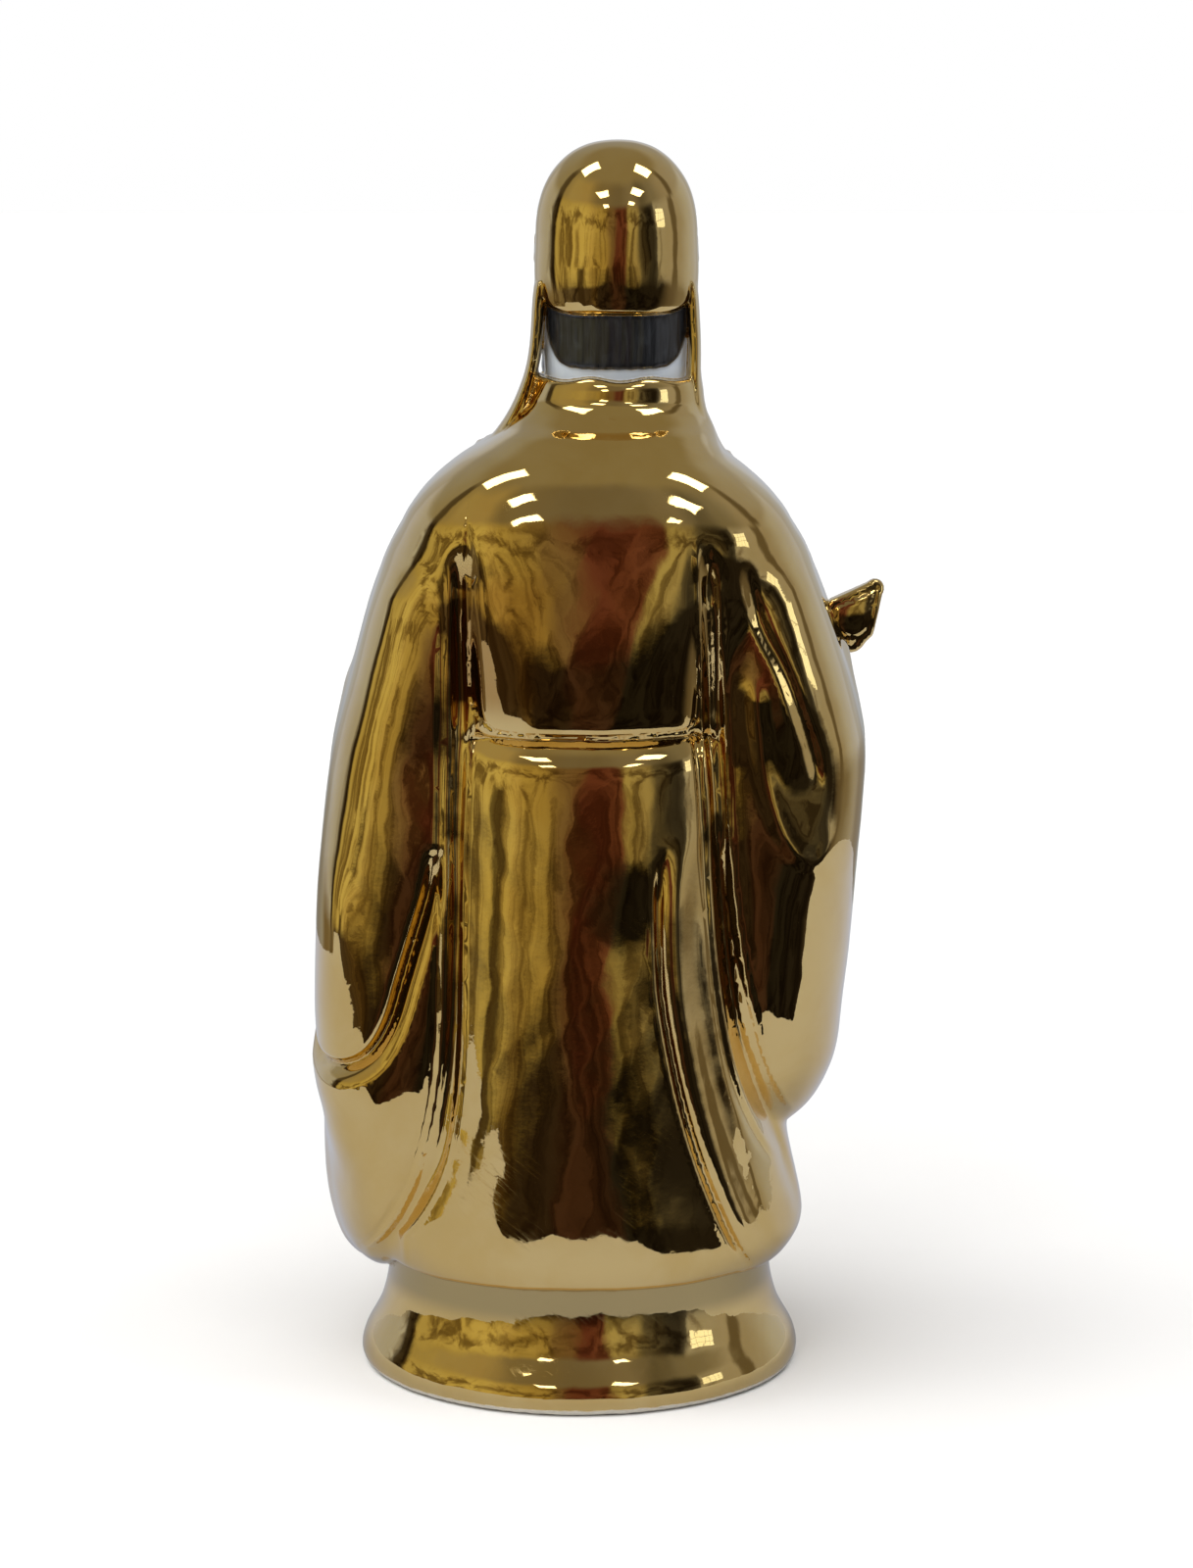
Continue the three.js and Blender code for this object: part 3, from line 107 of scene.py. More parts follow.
def sstep(a, b, x):
    t = clip((x - a) / (b - a), 0, 1)
    return t * t * (3 - 2 * t)


def win(x, a, b, f):
    """One between a and b, fading over f outside them."""
    return sstep(a - f, a, x) * (1 - sstep(b, b + f, x))


def smin(a, b, k):
    """A union with a fillet of size k."""
    h = np.maximum(k - np.abs(a - b), 0) / k
    return np.minimum(a, b) - h * h * h * k * (1 / 6)


def smax(a, b, k):
    """An intersection with its edge rounded by k."""
    h = np.maximum(k - np.abs(a - b), 0) / k
    return np.maximum(a, b) + h * h * h * k * (1 / 6)


def ell(x, y, z, a, b, c):
    """An ellipsoid."""
    X = x / a; Y = y / b; Z = z / c
    k0 = np.sqrt(X * X + Y * Y + Z * Z) + 1e-6
    k1 = np.sqrt((X / a) ** 2 + (Y / b) ** 2 + (Z / c) ** 2) + 1e-6
    return k0 * (k0 - 1) / k1


def cap2(x, y, z, ax, ay, az, bx, by, bz, ra, rb):
    """A round-ended rod from a to b, tapering from ra to rb."""
    ux = bx - ax; uy = by - ay; uz = bz - az
    L = ux * ux + uy * uy + uz * uz
    px = x - ax; py = y - ay; pz = z - az
    t = clip((px * ux + py * uy + pz * uz) / L, 0, 1)
    return np.sqrt((px - t * ux) ** 2 + (py - t * uy) ** 2 + (pz - t * uz) ** 2) - (ra + (rb - ra) * t)


def flow(pts, n):
    """Points of a smooth curve through pts, n to each span."""
    p = np.array(pts, float)
    q = np.concatenate([[2 * p[0] - p[1]], p, [2 * p[-1] - p[-2]]])
    out = []
    for i in range(len(p) - 1):
        a, b, c, d = q[i:i + 4]
        for k in range(n):
            t = k / n
            out.append(0.5 * (2 * b + (c - a) * t + (2 * a - 5 * b + 4 * c - d) * t**2 + (3 * b - a - 3 * c + d) * t**3))
    out.append(p[-1])
    return np.array(out)


def tube(x, y, z, pts, ra, rb):
    """A rod along a smooth curve."""
    p = flow(pts, 3)
    n = len(p) - 1
    d = None
    for i in range(n):
        e = cap2(x, y, z, *p[i], *p[i + 1], ra + (rb - ra) * i / n, ra + (rb - ra) * (i + 1) / n)
        d = e if d is None else smin(d, e, 0.3)
    return d


def sellipse(x, y, cx, cy, a, bb, bf, n, sh):
    """A superellipse in plan: half-width a, depth bb behind and bf in front, sheared by sh."""
    dy = y - cy; dx = x - cx + sh * dy
    b = np.where(dy > 0, bb, bf)
    u = np.abs(dx) / a; v = np.abs(dy) / b
    rho = np.sqrt(u * u + v * v) if n == 2 else (u**n + v**n + 1e-12) ** (1.0 / n)
    r = np.sqrt(dx * dx + dy * dy)
    return r - r / np.maximum(rho, 1e-3)


def fin(x, y, ax, ay, bx, by, r):
    """A flat wall in plan from a to b with round ends."""
    ux = bx - ax; uy = by - ay
    t = clip(((x - ax) * ux + (y - ay) * uy) / (ux * ux + uy * uy + 1e-6), 0, 1)
    return np.sqrt((x - ax - t * ux) ** 2 + (y - ay - t * uy) ** 2) - r


def rbox2(x, z, hx, hz, r):
    """A rectangle with round corners."""
    qx = np.abs(x) - hx + r; qz = np.abs(z) - hz + r
    return np.sqrt(mx(qx, 0) ** 2 + mx(qz, 0) ** 2) + mn(mx(qx, qz), 0) - r


def pline(x, z, pts):
    """Signed distance to a smooth open line on the wall of the robe, positive on its left."""
    p = flow(pts, 5)
    lo = p.min(0) - 25; hi = p.max(0) + 25
    out = np.full(x.shape, 99.0, f32)
    sel = (x > lo[0]) & (x < hi[0]) & (z > lo[1]) & (z < hi[1])
    if not sel.any():
        return out
    X = x[sel]; Z = z[sel]
    best = np.full(X.shape, 1e9, f32); sign = np.ones(X.shape, f32)
    for i in range(len(p) - 1):
        ax, az = p[i]; ux, uz = p[i + 1] - p[i]
        px = X - f32(ax); pz = Z - f32(az)
        t = clip((px * f32(ux) + pz * f32(uz)) / f32(ux * ux + uz * uz), 0, 1)
        d = (px - t * f32(ux)) ** 2 + (pz - t * f32(uz)) ** 2
        m = d < best
        best = np.where(m, d, best)
        sign = np.where(m, np.where(ux * pz - uz * px >= 0, f32(1), f32(-1)), sign)
    out[sel] = sign * np.sqrt(best)
    return out

# ---------------------------------------------------------------- sizes (mm)
HEIGHT=300
BASE_X=4.3
BASE_Y=1.0
BASE_A=54.6
BASE_DEPTH=0.87
HEM_Z=29.5
BELT_Z=163.3
COLLAR_Z=244.4
HEAD_X=-4.8
HEAD_Y=-3.0
CAP_A=19.6
CAP_B=19.8
CAP_DOME_Z=278
CAP_RIM_Z=259.6
HAIR_A=17.7
NECK_A=17.3
CHIN_Z=237
EYE_Z=256.6
# ---------------------------------------------------------------- stations
PLINTH=Tab([[-2,BASE_A-2],[0,BASE_A-1.4],[1.0,BASE_A-0.4],[3,BASE_A],[5.5,BASE_A-0.5],[8,BASE_A-1.6],[11,BASE_A-3.4],[14,BASE_A-4.9],[20,BASE_A-6.6],[26,BASE_A-7.3],[36,BASE_A-7.4]])
TORSO=Tab([[158,2,40,41.4,36],[168,2,40,42.2,36],[178,1.5,41.5,42.7,35.5],[188,1,45.5,42.5,35],[197,0,49.2,41.8,34.5],[203.6,-0.3,49.2,41.0,34],[209,-0.2,47.3,40.1,33],[216,0.05,43.0,38.4,31.3],[220.7,0.3,38.4,36.7,29.5],[224,0.35,34.3,34.8,28],[226,0.4,31.5,32.75,27],[228,-0.5,28.9,30.5,25.7],[229.5,-1.2,26.9,28.75,24.6],[231,-2.0,25.2,26.9,23],[232,-2.6,24.0,25.2,22],[236,-4.2,18,15,14]])
SKIRT=Tab([[26,4.0,46.6,42.2,42.4],[30,3.6,50.0,45.2,44.8],[34,3.2,52.8,46.8,46.2],[38,3,54.4,47.4,46.8],[44,3.2,53.6,47.4,46.6],[50,3.2,52.2,47.1,46],[60,3,49.8,46.7,44.8],[80,2.5,46.2,45.8,42.4],[110,2.2,42.8,44.1,38.8],[130,2,41.6,42.8,37.2],[146,2,41.1,41.9,36.5],[153,2,40.8,41.4,36.3],[156.5,2,40.6,40.7,36.1],[159,2,40.4,39.6,36],[161.3,2,40,38.0,35.9],[163,2,39.7,36.6,35.7],[166,2,38.8,34.0,35.5]])
SL_L=Tab([[22.8,53.4,-1,0.6,3,3],[25.6,53.9,-1,4.0,12,11],[30,54.5,-1,7.9,21,18],[38,54.4,-1,11.3,29,23],[50,53.5,-1,13.7,35,27],[65,52.2,-1.5,15.2,39,30.5],[77,51.9,-2,16.9,39.5,32.5],[92,52,-2.5,17.6,39.5,34],[119,50.5,-3,17.5,39,34.5],[137,49.6,-3,17.2,38.5,34],[155,48,-3,16.6,37.5,33],[172,44.4,-2,15.4,36.5,31.5],[185,41.7,-1,14.8,35,30],[198,39,0,13.2,32,27.5],[204,36,0,12.4,29,25],[210,31,0,10,24,20]])
SL_R=Tab([[58.5,-43.5,-5,1.0,3,3],[61,-44,-5,5.5,13,12],[65,-44.5,-5,9.5,20,19],[71,-45,-5,12.5,27,24],[77,-45,-4,14.4,31,27],[83,-45,-4,15.3,34,29],[92,-45,-4,16.1,36.5,31],[101,-45.5,-4,16.7,37.5,32],[119,-46.5,-4,17.2,38,33.5],[137,-47.4,-4,17.5,38,34],[154,-48.3,-4,17.8,37.5,33.5],[163,-47.2,-3,17.0,36.8,33],[172,-45.6,-2,16.2,36,31.5],[185,-42.2,-1,15.4,34.5,30],[198,-39,0,13.8,32,27.5],[204,-36.3,0,12.6,29,25],[210,-31,0,10,24,20]])
FIN_L=Tab([[24,57,-2,54,-10,1.5],[30,58,-2,52,-16,5],[45,58,-3,47,-24,7],[70,57,-4,40,-31,8],[100,55,-6,31.5,-36,8.6],[130,52,-8,24,-39,9.4],[148,50,-8,20,-40.5,10.2],[160,50,-8,21,-39.5,9.5]])
FIN_R=Tab([[60,-45,-5,-43,-14,1.5],[65,-46,-5,-41,-22,4],[75,-47,-5,-38,-28,6.5],[92,-48,-6,-34.5,-32,8],[115,-50,-7,-30,-36,8.8],[140,-50,-8,-26.5,-39,9.6],[160,-51,-8,-25,-40,10.2],[172,-51,-8,-26,-39,9.5]])
CAP=Tab([[256,16.4,16.2],[259,17.9,17.8],[260.5,18.7,18.6],[262.5,19.2,19.2],[266,19.5,19.6],[269,CAP_A+0.05,CAP_B-0.1],[272,CAP_A,CAP_B],[278,CAP_A-0.3,CAP_B-0.2],[290,CAP_A-0.4,CAP_B-0.3]])
COLLAR=Tab([[227,-2.6,-1.9,26.8,33.5],[229,-2.7,-1.9,26.2,31.15],[231,-2.9,-1.85,25.5,28.8],[232,-3.0,-1.8,25.1,27.6],[233,-3.1,-1.85,24.6,26.5],[234,-3.3,-1.95,23.9,25.45],[235,-3.5,-2.1,23.2,24.5],[236,-3.7,-2.2,22.5,23.35],[237,-3.9,-2.35,22.0,22.35],[238,-4.1,-2.5,21.6,21.5],[239,-4.27,-2.58,21.25,20.98],[240.5,-4.5,-2.7,20.9,20.75],[243,-4.8,-2.9,20.1,20.5],[246,-4.8,-3,18.8,18.8]])
LAP_L=Tab([[222,28.4,-6,2.0,6],[226,25.6,-4,2.3,6.4],[229.2,23.4,-3,2.4,6.6],[234.8,19.4,-1.5,2.3,6.6],[240.5,17.1,-0.5,1.8,6.5],[246.1,15.4,0,1.6,6.4],[251.7,14.5,0,1.55,6.4],[257.3,14.1,0,1.55,6.4],[264,13.6,0,1.6,6.4],[268,12.8,0,1.6,6]])
LAP_R=Tab([[222,-30.5,-6,2.0,6],[226,-28.6,-4,2.3,6.4],[229.2,-26.6,-3,2.3,6.6],[234.8,-24.2,-1.5,2.2,6.6],[240.5,-23.4,-0.5,1.85,6.5],[246.1,-23.3,0,1.65,6.4],[251.7,-23.4,0,1.6,6.4],[257.3,-23.1,0,1.6,6.4],[264,-22.7,0,1.6,6.4],[268,-22.0,0,1.6,6]])
BEARD=Tab([[174,0.8,0.6,-41.2,1.0],[178,0.6,2.4,-41.0,2.2],[184,0.2,5.0,-40.2,3.4],[192,-0.6,7.6,-38.6,4.6],[202,-1.6,9.6,-36,5.4],[212,-2.8,10.8,-32.6,6.0],[222,-3.8,11.4,-28.4,6.6],[231,-4.6,11.6,-24,7.2],[238,-4.8,11.4,-20.2,7.0],[244,-4.8,9.4,-17.4,5.6]])
X_L1=Tab([[34,56],[37.6,53],[45.7,47.8],[56.7,43],[68.8,39.4],[85.7,36.9],[104.9,36],[152,35],[198.3,34.1],[205,33.8]])
X_L2=Tab([[40,46.5],[44.5,43.1],[50.6,39.5],[59.1,35.9],[71.3,33.3],[85.7,31.9],[128.6,31.3],[166,30],[195.5,30.2],[205,30.4]])
X_R0=Tab([[54,-45.5],[66.4,-38.9],[80.9,-33.4],[104.9,-29.3],[128.6,-27.3],[152.1,-26],[164.9,-24.7],[189,-24],[205,-23.4]])
X_R2=Tab([[62,-50],[73.7,-44.7],[85.7,-39.9],[104.9,-35.6],[128.6,-32.4],[152.1,-31.0],[175.3,-29.9],[193.7,-28.9],[205,-28.2]])
X_V1=Tab([[34,-36],[41.5,-32.1],[61.6,-24.2],[78.5,-19.5],[90.5,-17.1],[104.9,-14.9],[121.5,-14.4],[135.7,-15.3],[145.1,-18.7],[152,-22]])
X_F1=Tab([[36,-42],[45.7,-37.9],[68.8,-31.2],[92.9,-26.4],[116.8,-23.9],[140.4,-23.5]])
X_V2=Tab([[40,-51],[56.7,-44.8],[73.7,-38.8],[92.9,-33.3],[116.8,-29.9],[140.4,-28.4]])
C1=[[38.6,134],[39.7,125.7],[42.8,114.9],[46.4,102.9],[49.4,93.2],[53.7,86],[59.6,82.3],[66,81.5],[73,83]]
RU=[[-36.6,180],[-37.4,170],[-39.7,152.9],[-43.3,141.1],[-47.3,134.5],[-51.5,131.1],[-55.5,133.5],[-60,141]]
RC=[[-34,204],[-38.5,189],[-44,178],[-48.5,166],[-51.5,156],[-53,146]]
BAND_U=[[-22,238],[-17,224],[-9,208],[-1,196]]
BAND_O=[[14,240],[12,226],[5,209],[-5,193],[-16,180],[-27,170]]
LAPF_L=[[24,229],[23.5,217],[21.5,203],[20,189]]
LAPF_R=[[-28,229],[-27,217],[-25,205],[-24,192]]
# ---------------------------------------------------------------- robe
def robe(x,y,z,fine):
    cx,a,yb,yf=TORSO(z)
    w=sstep(196,214,z)
    tor=(1-w)*sellipse(x,y,cx,0,a,yb,yf,2.35,0)+w*sellipse(x,y,cx,0,a,yb,yf,2.9,0)
    tor=smax(tor,z-236,2)
    tor=smax(tor,162.4-z-2.5*sstep(2,-8,y),4)
    cx,a,yb,yf=SKIRT(z)
    hem=HEM_Z+0.2+0.9*sin(x*0.21+0.6)*sstep(6,-10,y)
    sk=sellipse(x,y,cx,0,a,yb,yf,2.35,0)
    flute=sin((x-4)*0.36/(0.75+0.55*sstep(150,30,z)))
    sk=sk-1.5*flute*sstep(150,70,z)*sstep(-4,-20,y)
    sk=smax(sk,hem-z,3.2)
    sk=smax(sk,z-166,3)
    core=smin(tor,sk,1.2)
    lx,ly,la,lbb,lbf=SL_L(z)
    k=win(z,66,194,18)*sstep(-18,2,y)
    sl=sellipse(x,y,lx-5.5*k,ly,la+5.5*k,lbb-1.6*k,lbf,2.3,0.13-0.10*k)
    sl=(1-k)*sl+k*sellipse(x,y,lx-5.5*k,ly,la+5.5*k,lbb-1.6*k,lbf,3.3,0.13-0.10*k)
    sl=smax(smax(sl,z-208,5),24-z,3)
    rx,ry,ra,rbb,rbf=SL_R(z)
    k=win(z,84,196,16)*sstep(-18,2,y)
    sr=sellipse(x,y,rx+5.5*k,ry,ra+5.5*k,rbb-1.5*k,rbf,2.3,0.09*k-0.13)
    w=k*sstep(116,138,z)
    sr=(1-w)*sr+w*sellipse(x,y,rx+5.5*k,ry,ra+5.5*k,rbb-1.5*k,rbf,3.0,0.09*k-0.13)
    sr=smax(smax(sr,z-208,5),59.5-z,3)
    ax,ay,bx,by,r=FIN_L(z)
    fl=fin(x,y,ax,ay,bx,by,r)
    fl=smax(smax(fl,z-(161+0.22*(x-20)),7),25-z,3)
    ax,ay,ex,ey,r=FIN_R(z)
    fr=fin(x,y,ax,ay,ex,ey,r)
    fr=smax(smax(fr,z-(175-0.1*(x+26)),7),61-z,3)
    # sleeve mouths along the front edge of the hanging cloth
    ml=hyp2(x-bx+5.5,y-by+3.2)-(4.8-2.2*sstep(110,50,z))
    ml=smax(smax(ml,z-156,5),56-z,6)
    mr=hyp2(x-ex-5.5,y-ey+3.2)-(4.8-2.0*sstep(120,80,z))
    mr=smax(smax(mr,z-169,5),86-z,6)
    fl=smax(fl,-ml,1.4)
    fr=smax(fr,-mr,1.4)
    sl=smin(sl,fl,9)
    sr=smin(sr,fr,9)
    ks=5+5*sstep(186,208,z)
    d=smin(core,sl,ks)
    d=smin(d,sr,ks)
    # drapery lines of the back
    mb=sstep(4,16,y)
    wide=1.45-0.45*fine
    x1=X_L1(z)
    x2=X_L2(z)
    up=sstep(158,172,z)
    w=absv(x1-x2)
    g=(0.6+1.6*up)*bump((x-x2-0.9)/(1.5+0.3*w))*win(z,40,197,12)
    g=g-0.50*bump((x-x1)/(1.0*wide))*win(z,36,196,9)
    g=g-0.55*bump((x-x2)/(0.9*wide))*win(z,38,198,9)
    g=g+0.45*bump((x-0.5*(x1+x2))/(0.2*w+0.2))*win(z,40,186,10)
    g=g+0.40*bump((x-x1-1.9)/(0.85*wide))*win(z,38,182,12)
    x3=X_R0(z)
    x4=X_R2(z)
    w=absv(x3-x4)
    g=g+(0.6+1.0*up)*bump((x-0.5*(x3+x4))/(1.2+0.36*w))*win(z,70,199,12)
    g=g-0.55*bump((x-x3)/(0.9*wide))*win(z,62,202,9)
    g=g-0.50*bump((x-x4)/(1.0*wide))*win(z,66,196,9)
    g=g-0.25*fine*bump((x-0.5*(x3+x4))/0.6)*win(z,90,192,10)
    g=g+0.40*bump((x-x3-1.9)/(0.85*wide))*win(z,66,160,12)
    # pointed tops of the pleats
    q=absv(x-29.4-0.05*(z-203))-1.5*sstep(216,204,z)*sstep(198,201,z)
    g=g+0.5*fine*sstep(0.5,-0.9,q)*win(z,199,216,2)
    q=absv(x+26.2)-1.2*sstep(207,198,z)*sstep(192,196,z)
    g=g+0.4*fine*sstep(0.5,-0.8,q)*win(z,193,207,2)
    v1=X_V1(z)
    g=g+1.6*bump((x-v1)/(1.2*wide))*win(z,42,124,14)
    g=g+0.9*sstep(0,3,x-v1)*sstep(26,3,x-v1)*win(z,42,112,24)
    g=g-1.3*bump((x-v1+4.6)/3.2)*win(z,46,122,22)
    g=g-0.8*bump((x-X_F1(z)+3)/3.0)*win(z,46,116,22)
    g=g+1.3*bump((x-X_V2(z))/(1.6*wide))*win(z,52,126,18)
    # blouse rolled over the belt
    q=rbox2(x-2.9,z-(BELT_Z+0.9*sq((x-2.9)/27)+44),27.0,44,6.5+2.5*clip(x/20,-1,1))
    w=sqrt(sq(q)+0.16*wide)
    g=g+1.1*exp(-w/(1.8*wide))*sstep(0.3,-0.3,q)*sstep(192,174,z)
    g=g+0.5*exp(-w/(0.7*wide))*sstep(-0.3,0.3,q)*win(x,-23,29,4)*sstep(BELT_Z+3,BELT_Z,z)
    d=d+g*mb
    # folds of the sleeves behind
    s=pline(x,z-5.5*sstep(22,-10,y)*sstep(48,60,x),C1)
    g=2.6*bump(s/(1.5*wide))-1.5*sstep(-1,-5,s)*sstep(-22,-6,s)
    g=g*win(x,36,80,5)*win(z,74,124,15)
    g=g-2.3*bump((x-63.5)/5.0)*bump((z-117)/17)*sstep(2,18,y)
    g=g*sstep(-12,12,y)
    d=d+g*sstep(26,34,x)
    s=pline(x,z,RU)
    g=-0.7*bump(s/2.4)*win(z,134,170,8)*sstep(-60,-53,x)+1.5*bump((x+50.5)/6)*bump((z-152)/14)
    q=pline(x,z,RC)
    g=g+0.8*bump(q/1.5)*win(z,156,196,8)-0.4*sstep(0.8,3,q)*sstep(13,3,q)*win(z,156,196,9)
    g=g*sstep(-10,8,y)
    d=d+g*sstep(-30,-38,x)
    # drape folds of the sleeves at the sides
    ms=sstep(36,50,absv(x-2))*sstep(-5,-20,y)*win(z,92,160,22)
    ph=(z-0.024*sq(y+1)-0.06*y*sgn(x)-146)/23
    d=d+1.7*bump(sin(3.1416*ph)/0.42)*ms
    # long folds of the hanging cloth in front
    mf=sstep(-10,-22,y)
    t=(x-bx)*0.62+(by-y)*0.2
    g=1.5*bump((t-5.2)/(1.3*wide))+1.2*bump((t-10.2)/(1.5*wide))
    d=d+g*mf*win(z,60,132,22)*sstep(0,2,x-bx)
    t=(ex-x)*0.62+(ey-y)*0.2
    g=1.5*bump((t-5.2)/(1.3*wide))+1.2*bump((t-10.2)/(1.5*wide))
    d=d+g*mf*win(z,84,140,22)*sstep(0,2,ex-x)
    # crossed bands of the robe
    mf=sstep(-8,-16,y)
    s=absv(pline(x,z,BAND_U))
    g=-1.6*sstep(5.4,4.2,s)+0.5*fine*bump((s-3.1)/0.6)
    g=g*win(z,200,240,4)
    s=absv(pline(x,z,BAND_O))
    w=sstep(7.5,6.0,s)
    g=g*(1-w)+(-2.6*sstep(5.6,4.4,s)+0.6*fine*bump((s-3.2)/0.6)+0.5*fine*bump((s-6.3)/0.9))*w
    # fronts of the cap's lappets
    s=pline(x,z,LAPF_L)
    w=sstep(6.2,5.0,absv(s))*win(z,192,228,4)
    g=g*(1-w)-(1.9-0.5*fine*bump(s/0.8)-0.5*fine*bump((absv(s)-3.8)/0.6))*w
    s=pline(x,z,LAPF_R)
    w=sstep(6.2,5.0,absv(s))*win(z,195,228,4)
    g=g*(1-w)-(1.9-0.5*fine*bump(s/0.8)-0.5*fine*bump((absv(s)-3.8)/0.6))*w
    d=d+g*mf
    return d
def girdle(x,y,z,fine):
    # belt with plaques and the apron hanging from it
    cx,a,yb,yf=SKIRT(mx(z,150))
    b=sellipse(x,y,cx,0,a,yb,yf,2.35,0)-2.0
    b=smax(b,absv(z-BELT_Z)-4.6,1.2)
    b=smax(b,y+6,2)
    u=x-2-12*rnd((x-2)/12)
    q=rbox2(u,z-BELT_Z,4.4,3.6,1.4)
    b=b-0.9*sstep(0.4,-0.6,q)+0.5*fine*bump((q+1.3)/0.4)
    cx,a,yb,yf=SKIRT(z)
    p=sellipse(x,y,cx,0,a,yb,yf,2.35,0)-2.2
    low=52+5.5*sq((x-2)/13)
    q=rbox2(x-2,z-(0.5*(low+160)),12.5,0.5*(160-low),2.5)
    p=p+0.8*fine*bump((q+2.6)/0.6)
    rr=hyp2(x-2,z-112)
    th=atan2v(z-112,x-2)
    lobes=6.6+0.9*cos(6*th)
    p=p-0.8*sstep(0.5,-0.5,rr-lobes)+fine*(0.7*bump((rr-lobes+1.5)/0.45)+0.7*bump((rr-2.0)/0.4))
    rw=sin((x-2)*0.62)*1.4
    waves=bump((z-74-rw)/0.8)+bump((z-69-rw)/0.8)+bump((z-64-rw)/0.8)
    p=p+0.55*fine*waves*sstep(10,8.6,absv(x-2))
    p=smax(p,q,1.2)
    p=smax(p,y+6,2)
    return smin(b,p,0.6)
def collar(x,y,z,fine):
    cx,cy,a,b=COLLAR(z)
    d=sellipse(x,y-cy,cx,0,a,b,mn(b,22.2),2,0)
    top=COLLAR_Z+0.45*sin(x*0.45+1)-9.5*sstep(-6,-19,y)
    d=smax(d,z-top,1.5)
    d=smax(d,229-z,1)
    c2=sellipse(x,y-HEAD_Y,HEAD_X,0,14,14,16,2,0)
    return smax(d,-smax(c2,238-z,1),1.0)
def lappets(x,y,z,fine):
    cx,cy,a,b=LAP_L(z)
    l=sellipse(x,y-cy,cx,0,a,b,b,2.3,0)+0.7*fine*bump((x-cx+0.2)/0.55)*sstep(0,3,y)
    cx,cy,a,b=LAP_R(z)
    r=sellipse(x,y-cy,cx,0,a,b,b,2.3,0)+0.7*fine*bump((x-cx-0.2)/0.55)*sstep(0,3,y)
    d=mn(l,r)
    return smax(smax(d,z-267,2),222-z,3)
def cap(x,y,z,fine):
    a,b=CAP(z)
    X=x-HEAD_X
    Y=y-HEAD_Y
    t=mx(z-CAP_DOME_Z,0)/(HEIGHT-CAP_DOME_Z)
    rp=sqrt(sq(X/a)+sq(Y/b))
    rho=pw(pw(rp,2.25)+pw(t,2.25)+1e-9,0.4444)
    L=sqrt(sq(X)+sq(Y)+sq(mx(z-CAP_DOME_Z,0)))
    d=L-L/mx(rho,0.02)
    front=sstep(4,-14,Y)
    rim=CAP_RIM_Z+8.8*front+4.2*sq(X/19)*sq(sq(X/19))*(1-front)
    d=smax(d,rim-z,2.0)
    # turned-up band and plaque of the front
    bz=z-(CAP_RIM_Z+10.2+4.4)
    w=sstep(2,-8,Y)
    band=smax(d-1.3,absv(bz)-4.4+3.2*(1-w),1.2)+2*(1-w)
    q=rbox2(X,z-275.6,4.2,5.2,2.2)
    pl=smax(smax(d-2.4,q,0.8),Y,1)
    pl=pl+0.6*fine*bump((q+1.5)/0.5)
    top=d+0.5*fine*bump(X/0.7)*sstep(276,282,z)*sstep(-2,-8,Y)
    return smin(smin(top,band,0.5),pl,0.5)
def hair(x,y,z,fine):
    X=x-HEAD_X
    Y=y-HEAD_Y
    d=sellipse(X,Y,0,0,HAIR_A,HAIR_A-0.7,HAIR_A-0.5,2,0)
    low=246.9+8.5*sq(sq(sq(X/16.8)))+6*sstep(2,-8,Y)
    d=smax(d,low-z,1.6)
    d=smax(d,absv(X)-16.5-3*sstep(2,-8,Y),1.2)
    d=smax(d,z-266,1)
    d=smax(d,-Y-9,1)
    st=sin(X*2.2+0.6*sin(z*0.5))*0.05*fine
    return d+st
def neck(x,y,z,fine):
    X=x-HEAD_X
    Y=y-HEAD_Y
    d=sellipse(X,Y,0,0,NECK_A,NECK_A-1.3,NECK_A-2.4,2,0)
    return smax(smax(d,z-262,2),236-z,2)
def face(x,y,z,fine):
    X=x-HEAD_X
    A=absv(X)
    d=ell(X,y+7.5,z-256,15.6,14.6,20)
    d=smin(d,ell(X,y+9.5,z-245.5,13.0,12.4,11.5),5)
    d=smin(d,ell(A-7.2,y+17,z-250.2,5.2,4.6,4.8),4)
    d=smin(d,cap2(A,y,z,0,-21.2,261.4,8.2,-19.2,261.2,2.0,1.6),3)
    d=smax(d,-ell(A-6.3,y+22.6,z-EYE_Z-0.1,4.3,2.3,2.7),2.2)
    d=smin(d,cap2(X,y,z,0,-20.8,259.6,0,-25.0,250.4,1.5,2.0),1.8)
    d=smin(d,ell(X,y+25.0,z-249.8,2.5,2.4,2.2),1.2)
    d=smin(d,ell(A-2.7,y+23.0,z-249.3,1.6,2.0,1.6),0.9)
    d=smin(d,ell(A-6.3,y+19.0,z-EYE_Z,3.9,2.7,2.4),0.6)
    d=smin(d,cap2(A,y,z,2.9,-21.1,EYE_Z+0.5,6.0,-21.9,EYE_Z+1.9,0.55,0.65),0.7)
    d=smin(d,cap2(A,y,z,6.0,-21.9,EYE_Z+1.9,9.7,-19.4,EYE_Z+0.2,0.65,0.5),0.7)
    d=smin(d,cap2(A,y,z,3.2,-21.0,EYE_Z-0.9,9.2,-19.6,EYE_Z-1.0,0.45,0.45),0.9)
    d=smin(d,ell(A-1.5,y+22.4,z-244.9,2.3,1.5,0.95),0.6)
    d=smin(d,ell(X,y+22.0,z-243.1,2.7,1.7,1.15),0.6)
    d=smax(d,-cap2(A,y,z,0,-24.0,244.0,3.4,-22.8,244.1,0.35,0.25),0.4)
    return d
